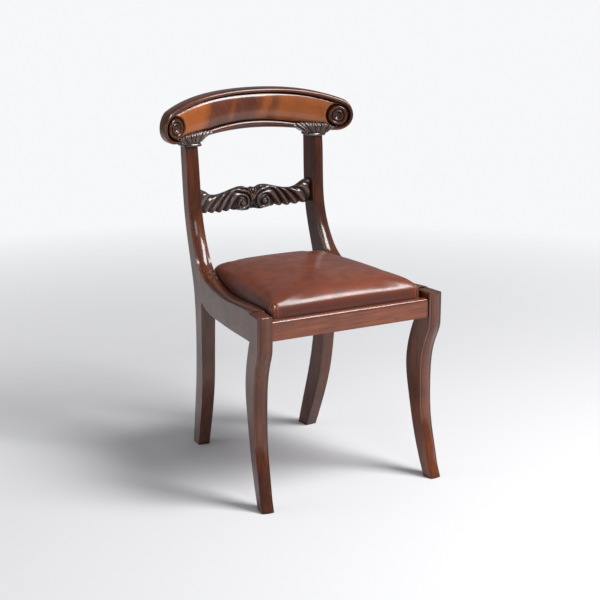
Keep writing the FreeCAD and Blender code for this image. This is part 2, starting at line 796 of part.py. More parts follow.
def straps(count, lengthways, low):
    """A layer of webbing straps, evenly spaced over the seat frame."""
    inset = leather + 2 * soft_gap + cushion_corner / 2
    front = seat_front + inset
    back = seat_back - inset
    room = seat_floor_plan(inset, low, low + webbing_thickness)
    solids = []
    span = 2 * inner_half_width(back, stock + inset) if lengthways else back - front
    pitch = span / count
    for index in range(count):
        middle = (index - (count - 1) / 2) * pitch
        if lengthways:
            corner = Vector(middle - webbing_width / 2, front - 1, low)
            strap = Part.makeBox(webbing_width, back - front + 2, webbing_thickness, corner)
        else:
            y = (front + back) / 2 + middle
            corner = Vector(-seat_front_width / 2, y - webbing_width / 2, low)
            strap = Part.makeBox(seat_front_width, webbing_width, webbing_thickness, corner)
        solids.append(strap.common(room).Solids[0])
    return solids


def tack_places():
    """Plan places of the tacks under the four sides of the seat."""
    places = []
    front = seat_front + tack_line
    back = seat_back - tack_line
    depth = stock + seat_side_gap + tack_line
    for index in range(tacks_per_side):
        share = (index + 0.5) / tacks_per_side
        y = front + share * (back - front)
        half = inner_half_width(y, depth)
        places += [(half, y), (-half, y)]
        for edge in (front, back):
            width = inner_half_width(edge, depth)
            places.append(((2 * share - 1) * width, edge))
    return places


def tack(x, y, grow=0.0):
    """A tack with its head under the leather, or the hole for its shank."""
    low = seat_bottom - tack_head_height
    shank = rod(Vector(x, y, seat_bottom - grow), Vector(0, 0, 1), tack_length + 2 * grow,
                tack_shank_radius + grow)
    if grow:
        return shank
    return rod(Vector(x, y, low), Vector(0, 0, 1), tack_head_height, tack_head_radius).fuse(shank)


def dowel(middle, direction, radius, length):
    """A dowel centred on a joint."""
    unit = Vector(direction).normalize()
    return rod(middle - unit * (length / 2), unit, length, radius)


def dowel_hole(middle, direction, radius, length):
    """The hole for a dowel, with room for glue all round and at both ends."""
    return dowel(middle, direction, radius + glue_gap, length + 2)


def bore(pieces, names, holes):
    """Cut the holes out of the named pieces."""
    for name in names:
        for hole in holes:
            pieces[name] = largest(pieces[name].cut(hole))


def both_sides(lines):
    """Lines of the right half and their mirror images."""
    out = list(lines)
    for point, direction in lines:
        out.append((Vector(-point.x, point.y, point.z),
                    Vector(-direction.x, direction.y, direction.z)))
    return out


def add_dowels(pieces, name, joined, lines, radius, length):
    """Put dowels on the lines, and drill the pieces that they join."""
    lines = both_sides(lines)
    pieces[name] = Part.makeCompound([dowel(p, d, radius, length) for p, d in lines])
    bore(pieces, joined, [dowel_hole(p, d, radius, length) for p, d in lines])


def frame_pieces():
    """All pieces of the glued frame."""
    pieces = {}
    for name, shape in (("front_leg", front_leg()), ("side_rail", side_rail()),
                        ("rear_leg", rear_leg())):
        right = to_right_side(shape)
        pieces[name + "_right"] = right
        pieces[name + "_left"] = mirrored(right)
    front_sides = [pieces["front_leg_left"], pieces["front_leg_right"]]
    rear_sides = [pieces["rear_leg_left"], pieces["rear_leg_right"]]
    front_back = front_rail_face + front_rail_thickness
    section = rail_section(front_rail_face, front_back, rail_lip,
                           front_rail_top - front_rail_height, front_rail_top, front_rail_round)
    pieces["front_rail"] = cross_rail(section, front_sides)
    section = rail_section(back_rail_place + back_rail_thickness, back_rail_place, back_rail_lip,
                           front_rail_top - back_rail_height, front_rail_top,
                           back_rail_lip / 3)
    pieces["back_rail"] = cross_rail(section, rear_sides)
    crest = crest_rail()
    pieces["crest_rail"] = crest
    pieces["crest_panel"] = crest_panel()
    pieces["crest_roundel_right"] = crest_roundel()
    pieces["crest_roundel_left"] = mirrored(pieces["crest_roundel_right"])
    carving = bracket()
    for name, shape in (("bracket_right", carving), ("bracket_left", mirrored(carving))):
        pieces[name] = largest(shape.cut(crest).cut(pieces["crest_panel"]))
    pieces["mid_rail"] = mid_rail(rear_sides)
    add_blocks_and_cleats(pieces, front_back)
    add_frame_dowels(pieces)
    return pieces


def add_screws(pieces, name, joined, lines):
    """Put screws on the lines, and drill the pieces that they join."""
    lines = both_sides(lines)
    pieces[name] = Part.makeCompound([screw(p, d) for p, d in lines])
    bore(pieces, joined, [screw_hole(p, d) for p, d in lines])


def add_blocks_and_cleats(pieces, front_back):
    """Glue blocks in the corners, ledges between them, and their screws."""
    names = []
    lines = []
    for end, face_y, sign in (("front", front_back, 1), ("rear", back_rail_place, -1)):
        block = corner_block(face_y, sign)
        lines += corner_screw_lines(face_y, sign)
        for side, shape in (("_right", block), ("_left", mirrored(block))):
            name = "corner_block_" + end + side
            names.append(name)
            pieces[name] = largest(shape.cut(pieces["rear_leg" + side]))
    rails = ["side_rail_right", "side_rail_left"]
    add_screws(pieces, "corner_block_screws", names + rails + ["front_rail", "back_rail"], lines)
    first = front_back + corner_block_leg + 1
    last = back_rail_place - corner_block_leg - 1
    pieces["cleat_right"] = side_cleat(first, last)
    pieces["cleat_left"] = mirrored(pieces["cleat_right"])
    add_screws(pieces, "cleat_screws", ["cleat_right", "cleat_left"] + rails,
               cleat_screw_lines(first, last))


def add_frame_dowels(pieces):
    """Dowels of the side, front, back, middle and crest joints."""
    along_s = side_point(1, 0, 0) - side_point(0, 0, 0)
    along_t = side_point(0, 1, 0) - side_point(0, 0, 0)
    middle = (rail_bottom + seat_height) / 2 + 8
    heights = [middle - dowel_spacing / 2, middle + dowel_spacing / 2]
    lines = [(side_point(s, stock / 2, z), along_s)
             for s in (block_depth, rear_joint) for z in heights]
    add_dowels(pieces, "side_rail_dowels",
               ["side_rail_right", "side_rail_left", "front_leg_right", "front_leg_left",
                "rear_leg_right", "rear_leg_left"], lines, dowel_radius, dowel_length)
    low = front_rail_top - front_rail_height + 9
    heights = [low, low + 2.6 * thin_dowel_radius]
    s = front_rail_face + front_rail_thickness / 2 + stock * math.sin(splay)
    lines = [(side_point(s, stock, z), along_t) for z in heights]
    add_dowels(pieces, "front_rail_dowels", ["front_rail", "front_leg_right", "front_leg_left"],
               lines, thin_dowel_radius, thin_dowel_length)
    s = (back_rail_place + back_rail_thickness / 2) / math.cos(splay) + stock * math.tan(splay)
    lines = [(side_point(s, stock, z), along_t) for z in heights]
    add_dowels(pieces, "back_rail_dowels", ["back_rail", "rear_leg_right", "rear_leg_left"],
               lines, thin_dowel_radius, thin_dowel_length)
    y = mid_rail_place + mid_rail_thickness / 2 - 14
    z = seat_height + mid_rail_base + 0.5 * mid_rail_height
    x = inner_half_width(y, stock - 4)
    add_dowels(pieces, "mid_rail_dowels", ["mid_rail", "rear_leg_right", "rear_leg_left"],
               [(Vector(x, y, z), Vector(1, 0, 0))], thin_dowel_radius, mid_rail_dowel_length)
    s, t = stile_head()
    foot = side_point(s + 1, t, stile_top + crest_lift / 2)
    add_dowels(pieces, "crest_dowels",
               ["crest_rail", "bracket_right", "bracket_left", "rear_leg_right",
                "rear_leg_left"], [(foot, Vector(0, 0, 1))], dowel_radius,
               crest_dowel_length)


def seat_pieces():
    """All pieces of the loose seat."""
    pieces = {"seat_cover": seat_cover()}
    names = ("seat_rail_front", "seat_rail_back", "seat_rail_left", "seat_rail_right")
    for name, board in zip(names, seat_boards()):
        pieces[name] = board
    places = tack_places()
    holes = [tack(x, y, glue_gap) for x, y in places]
    pieces["seat_tacks"] = Part.makeCompound([tack(x, y) for x, y in places])
    bore(pieces, names + ("seat_cover",), holes)
    low = seat_bottom + leather + soft_gap
    level = low + seat_board / 2
    front = seat_front + leather + soft_gap + seat_board_width
    back = seat_back - leather - soft_gap - seat_board_width
    depth = stock + seat_side_gap + leather + soft_gap + seat_board_width / 2
    lines = [(Vector(inner_half_width(y, depth) + dx, y, level), Vector(0, 1, 0))
             for y in (front, back) for dx in (-11, 11)]
    add_dowels(pieces, "seat_frame_dowels", list(names), lines, thin_dowel_radius,
               seat_dowel_length)
    layer = low + seat_board + soft_gap
    pieces["seat_webbing_lengthways"] = Part.makeCompound(straps(4, True, layer))
    layer += webbing_thickness + soft_gap
    pieces["seat_webbing_crossways"] = Part.makeCompound(straps(4, False, layer))
    layer += webbing_thickness + soft_gap
    inset = leather + 2 * soft_gap + cushion_corner / 3
    pieces["seat_hessian"] = seat_floor_plan(inset, layer, layer + hessian_thickness)
    layer += hessian_thickness + soft_gap
    pieces["seat_stuffing"] = cushion_form(leather + soft_gap, layer)
    cloth = seat_floor_plan(leather_turn_under + soft_gap, seat_bottom + 0.4,
                            seat_bottom + leather)
    pieces["seat_dust_cover"] = cloth
    return pieces


def main():
    os.makedirs("parts", exist_ok=True)
    pieces = frame_pieces()
    pieces.update(seat_pieces())
    box = FreeCAD.BoundBox()
    for shape in pieces.values():
        box.add(shape.optimalBoundingBox())
    for name, shape in sorted(pieces.items()):
        shape.translate(Vector(0, -box.Center.y, -box.ZMin))
        shape.exportStep("parts/" + name + ".step")
        print(name, len(shape.Solids), round(shape.Volume), shape.isValid())
    print("size", box.XLength, box.YLength, box.ZLength, "centre", box.Center.y, box.ZMin)


main()
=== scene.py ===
"""Dresses the klismos chair: polished and carved mahogany, a figured crest, a leather seat."""
import math

import bmesh
import bpy
import numpy as np
from bpy.props import FloatProperty, FloatVectorProperty, IntProperty, PointerProperty
from bpy.types import Operator, Panel, PropertyGroup
from mathutils import Matrix, Vector


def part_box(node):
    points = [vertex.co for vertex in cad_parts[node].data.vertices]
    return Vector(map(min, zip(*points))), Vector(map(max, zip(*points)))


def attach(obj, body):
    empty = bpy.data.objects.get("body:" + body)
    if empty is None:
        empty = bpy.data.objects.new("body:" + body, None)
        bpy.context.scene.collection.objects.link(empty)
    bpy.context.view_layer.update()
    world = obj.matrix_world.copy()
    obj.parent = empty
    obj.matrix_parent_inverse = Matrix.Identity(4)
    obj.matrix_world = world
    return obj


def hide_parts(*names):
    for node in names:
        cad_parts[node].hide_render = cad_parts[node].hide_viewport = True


bl_info = {
    "name": "Klismos chair dresser",
    "version": (1, 0, 0),
    "blender": (4, 5, 0),
    "location": "View3D > Sidebar > Chair",
    "description": "Builds the carved, polished and upholstered surfaces of a klismos chair",
    "category": "Object",
}

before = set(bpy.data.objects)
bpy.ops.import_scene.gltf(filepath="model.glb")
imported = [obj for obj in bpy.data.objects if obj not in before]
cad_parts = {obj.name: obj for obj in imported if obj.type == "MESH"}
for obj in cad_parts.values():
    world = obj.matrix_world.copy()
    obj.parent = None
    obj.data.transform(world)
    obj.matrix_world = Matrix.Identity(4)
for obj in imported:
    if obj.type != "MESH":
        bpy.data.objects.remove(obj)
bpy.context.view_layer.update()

# Places and sizes that pieces share with the frame or with each other, in metres. CREST_END,
# ROUNDEL and VOLUTE are the (x, z) of the right-hand centres.
CREST_RADIUS = 0.560
CREST_FRONT = 0.234
CREST_TOP = 0.855
CREST_BOTTOM = 0.760
CREST_END = (0.214, 0.781)
CREST_END_RADIUS = 0.037
CREST_THICKNESS = 0.030
CREST_TOP_TURN = math.radians(60)
CREST_LOW_TURN = math.radians(-96)
ROUNDEL = (0.219, 0.781)
FIELD_DEPTH = 0.009
MID_RADIUS = 0.780
MID_FRONT = 0.220
MID_BASE = 0.564
MID_HEIGHT = 0.057
MID_HALF = 0.1468
VOLUTE = (0.029, 0.5845)
COIL_START = 0.0095
COIL_PITCH = 0.0098
STILE_X = 0.1665
CAP_HEIGHT = 0.0075
PAD_EDGE = 0.446

# Colours that no setting changes
# The first colour is painted shade, laid into corners and grooves; HAZE is the bright backdrop.
PAINTED_SHADE = (0.006, 0.003, 0.002)
HAZE = (0.93, 0.935, 0.95, 1)


# === settings

def size(name, text, value, low, high):
    """A length that a user may change."""
    return FloatProperty(name=name, description=text, default=value, min=low, max=high,
                         precision=4, unit="LENGTH")


def tint(name, text, value):
    """A colour that a user may change."""
    return FloatVectorProperty(name=name, description=text, default=value, size=3, min=0, max=1,
                               subtype="COLOR")


class ChairSizes(PropertyGroup):
    """Sizes of the pieces that are added to the frame."""
    panel_bulge: size("Panel bulge", "How far the crest's panel stands proud of its groove",
                      0.0115, 0.002, 0.02)
    rim_rise: size("Rim rise", "How far the crest's rounded rim stands out", 0.003, 0.0, 0.008)
    gadroon_depth: size("Gadroon depth", "Depth of the grooves in the middle rail",
                        0.0062, 0.0005, 0.010)
    gadroon_pitch: size("Gadroon pitch", "Distance between two ridges of the middle rail",
                        0.0212, 0.005, 0.03)
    leaf_depth: size("Leaf depth", "Depth of the carved leaves under the crest",
                     0.004, 0.0005, 0.008)
    pad_swell: size("Pad swell", "The most that the seat's filling may push the leather out",
                    0.0022, 0.0, 0.016)
    fold_depth: size("Fold depth", "Depth of the folds at the seat's front corners",
                     0.0022, 0.0, 0.006)
    remesh_step: size("Remesh step", "Mesh size of the seat while it swells", 0.005, 0.003, 0.01)


class ChairColours(PropertyGroup):
    """Colours of the woods and the leather."""
    polish_dark: tint("Dark mahogany", "Darkest figure of the polished frame",
                      (0.030, 0.007, 0.003))
    polish_light: tint("Light mahogany", "Lightest figure of the polished frame",
                       (0.190, 0.046, 0.014))
    flame_light: tint("Flame light", "Orange of the figured panel", (0.330, 0.088, 0.014))
    flame_dark: tint("Flame dark", "Brown of the figured panel", (0.075, 0.019, 0.012))
    # Carving dark is painted shade in the carving's grooves, along with polish gathered there.
    carving_shade_and_polish: tint("Carving dark", "Polish that has gathered in the carving",
                       (0.006, 0.004, 0.004))
    # Carving light is a painted highlight on the carving's ridges, along with their rubbing.
    carving_highlight_and_rub: tint("Carving light", "Rubbed ridges of the carving", (0.130, 0.062, 0.045))
    hide: tint("Leather", "Main colour of the seat's leather", (0.165, 0.036, 0.017))
    hide_worn: tint("Worn leather", "Leather that use has lightened", (0.270, 0.070, 0.026))
    hide_dark: tint("Shaded leather", "Leather near the seat's edges", (0.062, 0.015, 0.011))


class ChairCounts(PropertyGroup):
    """Counts that set how fine the meshes are."""
    carving_columns: IntProperty(name="Carving columns", default=420, min=60, max=800,
                                 description="Sections along the middle rail")
    carving_rows: IntProperty(name="Carving rows", default=110, min=20, max=200,
                              description="Points up each section of the middle rail")
    swell_frames: IntProperty(name="Swell frames", default=20, min=1, max=60,
                              description="Steps of the seat's cloth simulation")


# === meshes

def mesh_object(name, points, faces):
    """A smooth object at the origin from an array of points and lists of corner numbers."""
    mesh = bpy.data.meshes.new(name)
    mesh.from_pydata(points.reshape(-1, 3).tolist(), [], faces)
    mesh.validate()
    mesh.polygons.foreach_set("use_smooth", np.full(len(mesh.polygons), True))
    made = bpy.data.objects.new(name, mesh)
    bpy.context.scene.collection.objects.link(made)
    return made


def grid_faces(rows, columns, start=0, wrap_rows=False, wrap_columns=False):
    """Quads of a grid of points numbered from start, closed on itself where it wraps."""
    i, j = np.meshgrid(np.arange(rows if wrap_rows else rows - 1),
                       np.arange(columns if wrap_columns else columns - 1), indexing="ij")
    down, along = (i + 1) % rows, (j + 1) % columns
    quads = np.stack([i * columns + j, down * columns + j, down * columns + along,
                      i * columns + along], axis=-1)
    return start + quads.reshape(-1, 4)


def lofted(name, sections):
    """A capped solid skin over an array (section, point, 3) of closed sections."""
    count, around = sections.shape[:2]
    first = list(range(around))
    last = [(count - 1) * around + j for j in reversed(range(around))]
    faces = grid_faces(count, around, wrap_columns=True).tolist() + [first, last]
    made = mesh_object(name, sections, faces)
    tidy_skin(made)
    return made


def tidy_skin(made):
    """Merge doubled points and turn every face outwards."""
    work = bmesh.new()
    work.from_mesh(made.data)
    bmesh.ops.remove_doubles(work, verts=work.verts, dist=0.00002)
    bmesh.ops.recalc_face_normals(work, faces=work.faces)
    work.to_mesh(made.data)
    work.free()
    made.data.update()


def set_attribute(made, name, values):
    """Store one number per point, for a material to read."""
    layer = made.data.attributes.new(name, "FLOAT", "POINT")
    layer.data.foreach_set("value", np.asarray(values, np.float32))


def point_array(made):
    """The object's points as an (n, 3) array."""
    flat = np.empty(len(made.data.vertices) * 3)
    made.data.vertices.foreach_get("co", flat)
    return flat.reshape(-1, 3)


def move_points(made, points):
    """Give the object's points new places, from an (n, 3) array."""
    made.data.vertices.foreach_set("co", points.ravel())
    made.data.update()


def hollow_arc(x, radius, middle):
    """Y at x of a front that is hollow in plan: an arc that passes through middle at x = 0."""
    return middle - radius + np.sqrt(radius ** 2 - x ** 2)


def plated(name, front, keep, back_y):
    """A solid skin over a grid of front points, with each keep-th row repeated at the back."""
    back = front[:, ::-keep].copy()
    back[..., 1] = back_y(back[..., 0])
    return lofted(name, np.concatenate([front, back], axis=1))


def smooth_step(x):
    """0 below 0, 1 above 1, and 3x2 - 2x3 between."""
    x = np.clip(x, 0, 1)
    return x * x * (3 - 2 * x)


def ridge(phase, power=2.0):
    """A row of rounded ridges: 1 at each whole phase plus a half, 0 at each whole phase."""
    across = 2 * (phase - np.floor(phase)) - 1
    return 1 - np.abs(across) ** power


# === materials

def join(tree, value, socket):
    """Link an output to a socket, or set the socket to a plain value."""
    if isinstance(value, bpy.types.NodeSocket):
        tree.links.new(value, socket)
    else:
        socket.default_value = value


def fill(tree, target, inputs):
    """Link or set a node's inputs, named with _ for each space; gives the node back."""
    for name, value in inputs.items():
        join(tree, value, target.inputs[name.replace("_", " ")])
    return target


def node(tree, kind, settings=None, **inputs):
    """A shader node with its settings and its inputs."""
    made = tree.nodes.new("ShaderNode" + kind)
    for key, value in (settings or {}).items():
        setattr(made, key, value)
    return fill(tree, made, inputs)


def mix(tree, share, low, high):
    """Blend of two colours or colour outputs."""
    made = node(tree, "Mix", {"data_type": "RGBA"})
    join(tree, share, made.inputs[0])
    for index, value in ((6, low), (7, high)):
        join(tree, (*value, 1) if isinstance(value, tuple) else value, made.inputs[index])
    return made.outputs[2]


def maths(tree, operation, a, b=0.0, c=0.0):
    """One step of arithmetic on outputs or numbers."""
    made = node(tree, "Math", {"operation": operation})
    for index, value in enumerate((a, b, c)):
        join(tree, value, made.inputs[index])
    return made.outputs[0]


def times(tree, a, b):
    """Product of two outputs or numbers."""
    return maths(tree, "MULTIPLY", a, b)


def ranged(tree, value, low, high, to_low=0.0, to_high=1.0):
    """A value carried from one range to another and held there."""
    made = node(tree, "MapRange", {"clamp": True}, Value=value, From_Min=low, From_Max=high,
                To_Min=to_low, To_Max=to_high)
    return made.outputs["Result"]


def effect(name, inputs, outputs):
    """An empty shader node group with named sockets; gives the tree, its input and its output."""
    tree = bpy.data.node_groups.new(name, "ShaderNodeTree")
    for label, kind, value in inputs:
        socket = tree.interface.new_socket(label, in_out="INPUT", socket_type="NodeSocket" + kind)
        if value is not None:
            socket.default_value = value
    for label, kind in outputs:
        tree.interface.new_socket(label, in_out="OUTPUT", socket_type="NodeSocket" + kind)
    return tree, tree.nodes.new("NodeGroupInput"), tree.nodes.new("NodeGroupOutput")


def use(tree, group, **inputs):
    """Place a node group with its own values."""
    return node(tree, "Group", {"node_tree": group}, **inputs)


def stretched(tree, vector, share):
    """A vector whose X is shrunk to a share, so that a texture is drawn out along X."""
    made = node(tree, "VectorMath", {"operation": "MULTIPLY"})
    join(tree, vector, made.inputs[0])
    join(tree, (share, 1, 1), made.inputs[1])
    return made.outputs[0]


def wood_grain():
    """Grain that runs along X: broad figure, fine streaks and short pores."""
    name = "wood grain"
    if name in bpy.data.node_groups:
        return bpy.data.node_groups[name]
    tree, given, out = effect(name, [("Vector", "Vector", None), ("Figure Scale", "Float", 9.0),
                                     ("Pore Scale", "Float", 420.0)],
                              [("Figure", "Float"), ("Streaks", "Float"), ("Pores", "Float")])
    long = stretched(tree, given.outputs["Vector"], 0.16)
    figure = node(tree, "TexNoise", Vector=long, Scale=given.outputs["Figure Scale"],
                  Detail=5.0, Roughness=0.55, Distortion=0.9)
    thin = stretched(tree, given.outputs["Vector"], 0.05)
    streaks = node(tree, "TexNoise", Vector=thin,
                   Scale=times(tree, given.outputs["Figure Scale"], 14.0),
                   Detail=3.0, Roughness=0.6)
    pores = node(tree, "TexNoise", Vector=thin, Scale=given.outputs["Pore Scale"], Detail=1.0)
    fill(tree, out, {"Figure": ranged(tree, figure.outputs["Fac"], 0.34, 0.68),
                     "Streaks": ranged(tree, streaks.outputs["Fac"], 0.35, 0.7),
                     "Pores": ranged(tree, pores.outputs["Fac"], 0.60, 0.72)})
    return tree


def hand_wear():
    """Soft patches, as old polish has, and the faint unevenness of a hand-rubbed surface."""
    name = "hand wear"
    if name in bpy.data.node_groups:
        return bpy.data.node_groups[name]
    tree, given, out = effect(name, [("Vector", "Vector", None), ("Scale", "Float", 14.0)],
                              [("Patches", "Float"), ("Ripple", "Float")])
    patches = node(tree, "TexNoise", Vector=given.outputs["Vector"],
                   Scale=given.outputs["Scale"], Detail=3.0, Roughness=0.5)
    ripple = node(tree, "TexNoise", Vector=given.outputs["Vector"],
                  Scale=times(tree, given.outputs["Scale"], 4.0), Detail=1.0)
    fill(tree, out, {"Patches": ranged(tree, patches.outputs["Fac"], 0.38, 0.66),
                     "Ripple": ripple.outputs["Fac"]})
    return tree


def corner_shade():
    """Mask of painted shade in corners and grooves, where old polish and dust also gather."""
    name = "corner shade"
    if name in bpy.data.node_groups:
        return bpy.data.node_groups[name]
    tree, given, out = effect(name, [("Strength", "Float", 1.0)], [("Shade", "Float")])
    open_share = node(tree, "AmbientOcclusion", {"samples": 4}, Distance=0.009)
    shade = ranged(tree, open_share.outputs["AO"], 0.35, 0.95, 1.0, 0.0)
    fill(tree, out, {"Shade": times(tree, shade, given.outputs["Strength"])})
    return tree


def new_material(name):
    """A material with an empty tree; gives the material, its tree and its Principled shader."""
    made = bpy.data.materials.new(name)
    made.use_nodes = True
    tree = made.node_tree
    tree.nodes.clear()
    shader = node(tree, "BsdfPrincipled")
    node(tree, "OutputMaterial", Surface=shader.outputs[0])
    return made, tree, shader


def object_vector(tree, turn=(0, 0, 0)):
    """Object coordinates, turned so that the grain's X runs along the piece."""
    place = node(tree, "TexCoord")
    return node(tree, "Mapping", Vector=place.outputs["Object"], Rotation=turn).outputs[0]


def with_painted_shade(tree, colour):
    """A colour darkened by painted shade in the corners."""
    corners = use(tree, corner_shade(), Strength=0.9)
    return mix(tree, corners.outputs["Shade"], colour, PAINTED_SHADE)


TURN = {"x": (0, 0, 0), "y": (0, 0, math.radians(90)), "z": (0, math.radians(90), 0)}


def polished_wood(name, along, dark, light, figure_scale=9.0):
    """French-polished wood: figure between two tints, dark pores and a clear coat."""
    made, tree, shader = new_material(name)
    vector = object_vector(tree, TURN[along])
    grain = use(tree, wood_grain(), Vector=vector, Figure_Scale=figure_scale)
    wear = use(tree, hand_wear(), Vector=vector)
    share = maths(tree, "MULTIPLY_ADD", grain.outputs["Streaks"], 0.35,
                  times(tree, grain.outputs["Figure"], 0.65))
    colour = mix(tree, share, dark, light)
    shade = times(tree, wear.outputs["Patches"], 0.45)
    colour = mix(tree, shade, colour, dark)
    colour = mix(tree, times(tree, grain.outputs["Pores"], 0.5), colour,
                 tuple(0.4 * c for c in dark))
    eased = node(tree, "Bevel", {"samples": 4}, Radius=0.0016)
    bump = node(tree, "Bump", Strength=0.12, Distance=0.001, Height=wear.outputs["Ripple"],
                Normal=eased.outputs[0])
    # painted shade darkens the base colour in the corners and grooves
    fill(tree, shader, {"Base_Color": with_painted_shade(tree, colour),
                        "Roughness": ranged(tree, wear.outputs["Patches"], 0, 1, 0.34, 0.46),
                        "Normal": bump.outputs[0], "Coat_Normal": eased.outputs[0],
                        "Specular_IOR_Level": 0.12, "Coat_Weight": 0.9,
                        "Coat_Roughness": 0.10, "Coat_IOR": 1.5})
    return made


def flame_wood(dark, light):
    """Flame veneer: broad bands across the length, with slanting streaks of lighter fibre."""
    made, tree, shader = new_material("flame mahogany")
    vector = object_vector(tree)
    parts = node(tree, "SeparateXYZ", Vector=vector)
    drift = node(tree, "TexNoise", Vector=vector, Scale=7.0, Detail=3.0, Distortion=0.4)
    slant = maths(tree, "MULTIPLY_ADD", parts.outputs["Z"], -0.10,
                  maths(tree, "ADD", parts.outputs["X"], 0.08))
    place = maths(tree, "MULTIPLY_ADD", drift.outputs["Fac"], 0.05, slant)
    ramp = tree.nodes.new("ShaderNodeValToRGB")
    stops = [(0.0, 0.9), (0.07, 1.0), (0.105, 0.62), (0.13, 0.20), (0.25, 0.12), (0.285, 0.42),
             (0.31, 0.14), (0.40, 0.10), (0.44, 0.30), (0.47, 0.74), (0.50, 0.62), (0.515, 0.28),
             (0.54, 0.34), (0.57, 0.76), (0.66, 0.60), (0.75, 0.80), (0.86, 0.70), (1.0, 0.85)]
    while len(ramp.color_ramp.elements) < len(stops):
        ramp.color_ramp.elements.new(0.5)
    for element, (where, level) in zip(ramp.color_ramp.elements, stops):
        element.position = where
        element.color = (level, level, level, 1)
    tree.links.new(ranged(tree, place, -0.145, 0.285), ramp.inputs["Fac"])
    fibre = use(tree, wood_grain(), Vector=object_vector(tree, (0, math.radians(-62), 0)),
                Figure_Scale=22.0)
    level = maths(tree, "MULTIPLY_ADD", fibre.outputs["Streaks"], 0.22,
                  maths(tree, "SUBTRACT", ramp.outputs["Color"], 0.11))
    level = maths(tree, "MULTIPLY_ADD", fibre.outputs["Figure"], 0.16,
                  maths(tree, "SUBTRACT", level, 0.08))
    # painted shade darkens the veneer in the corners and grooves
    fill(tree, shader, {"Base_Color": with_painted_shade(tree, mix(tree, level, dark, light)),
                        "Roughness": 0.42, "Specular_IOR_Level": 0.12, "Coat_Weight": 1.0,
                        "Coat_Roughness": 0.09})
    return made


def carved_wood(dark, light):
    """Carving: painted shade and old polish darken the hollows; painted highlight and rubbing
    lighten the ridges.
    """
    made, tree, shader = new_material("carved mahogany")
    relief = node(tree, "Attribute", {"attribute_name": "relief"})
    vector = object_vector(tree)
    grain = use(tree, wood_grain(), Vector=vector, Figure_Scale=14.0)
    # the relief paints shade into the grooves and a highlight onto the ridges
    share = ranged(tree, relief.outputs["Fac"], 0.45, 1.0)
    share = times(tree, share,
                  maths(tree, "MULTIPLY_ADD", grain.outputs["Streaks"], 0.4, 0.6))
    fill(tree, shader, {"Base_Color": mix(tree, share, dark, light),
                        "Roughness": ranged(tree, relief.outputs["Fac"], 0.0, 0.8, 0.55, 0.24),
                        "Coat_Weight": ranged(tree, relief.outputs["Fac"], 0.1, 0.6, 0.2, 1.0),
                        "Coat_Roughness": 0.12})
    return made


def leather(hide, worn, dark):
    """Smooth old leather: colour patches, painted shade on its sides and folds, fine grain,
    creases and a soft polish.
    """
    made, tree, shader = new_material("seat leather")
    vector = object_vector(tree)
    wear = node(tree, "Attribute", {"attribute_name": "wear"})
    edge = node(tree, "Attribute", {"attribute_name": "edge"})
    patches = use(tree, hand_wear(), Vector=vector, Scale=7.0)
    mottle = use(tree, hand_wear(), Vector=vector, Scale=38.0)
    colour = hide
    for share, tone in ((times(tree, patches.outputs["Patches"], 0.55), worn),
                        (times(tree, mottle.outputs["Patches"], 0.30), dark),
                        # painted shade: the edge attribute darkens the seat's upright sides and
                        # its corner creases
                        (edge.outputs["Fac"], dark),
                        (wear.outputs["Fac"], tuple(min(1, 1.5 * c) for c in worn))):
        colour = mix(tree, share, colour, tone)
    cells = node(tree, "TexVoronoi", {"feature": "DISTANCE_TO_EDGE"}, Vector=vector, Scale=620.0)
    creases = node(tree, "TexNoise", Vector=vector, Scale=55.0, Detail=4.0, Distortion=1.2)
    height = maths(tree, "MULTIPLY_ADD", ranged(tree, cells.outputs["Distance"], 0.0, 0.25), 0.25,
                   creases.outputs["Fac"])
    bump = node(tree, "Bump", Strength=0.22, Distance=0.0012, Height=height)
    fill(tree, shader, {"Base_Color": colour, "Normal": bump.outputs[0],
                        "Roughness": ranged(tree, mottle.outputs["Patches"], 0, 1, 0.30, 0.42),
                        "Specular_IOR_Level": 0.35, "Coat_Weight": 0.5,
                        "Coat_Roughness": 0.20})
    return made


def plain_wood(name, along, dark, light):
    """Bare planed wood of the pieces that no one sees."""
    made, tree, shader = new_material(name)
    grain = use(tree, wood_grain(), Vector=object_vector(tree, TURN[along]), Figure_Scale=20.0)
    share = maths(tree, "MULTIPLY_ADD", grain.outputs["Streaks"], 0.6,
                  times(tree, grain.outputs["Figure"], 0.4))
    fill(tree, shader, {"Base_Color": mix(tree, share, dark, light), "Roughness": 0.62})
    return made


def woven(name, dark, light, threads):
    """Plain weave: warp and weft cross at the given number of threads to the metre."""
    made, tree, shader = new_material(name)
    parts = node(tree, "SeparateXYZ", Vector=object_vector(tree))
    turns = math.pi * threads
    warp = maths(tree, "SINE", times(tree, parts.outputs["X"], turns))
    weft = maths(tree, "SINE", times(tree, parts.outputs["Y"], turns))
    cross = maths(tree, "ABSOLUTE", times(tree, warp, weft))
    bump = node(tree, "Bump", Strength=0.5, Distance=0.0005, Height=cross)
    fill(tree, shader, {"Base_Color": mix(tree, cross, dark, light),
                        "Normal": bump.outputs[0], "Roughness": 0.85})
    return made


def steel():
    """Dull screw steel with fine turning marks."""
    made, tree, shader = new_material("screw steel")
    marks = node(tree, "TexNoise", Vector=object_vector(tree), Scale=900.0, Detail=2.0)
    colour = mix(tree, marks.outputs["Fac"], (0.30, 0.29, 0.27), (0.45, 0.43, 0.40))
    fill(tree, shader, {"Roughness": ranged(tree, marks.outputs["Fac"], 0.3, 0.7, 0.3, 0.5),
                        "Base_Color": colour, "Metallic": 1.0})
    return made


def finish_node(name, material):
    """Give a carried-over piece of the frame its material."""
    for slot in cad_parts[name].material_slots:
        slot.material = material


def tint_of(name):
    """A colour setting as a plain tuple."""
    return tuple(getattr(bpy.context.scene.chair_colours, name))


def sizes():
    """The size settings."""
    return bpy.context.scene.chair_sizes


# === the frame's own pieces

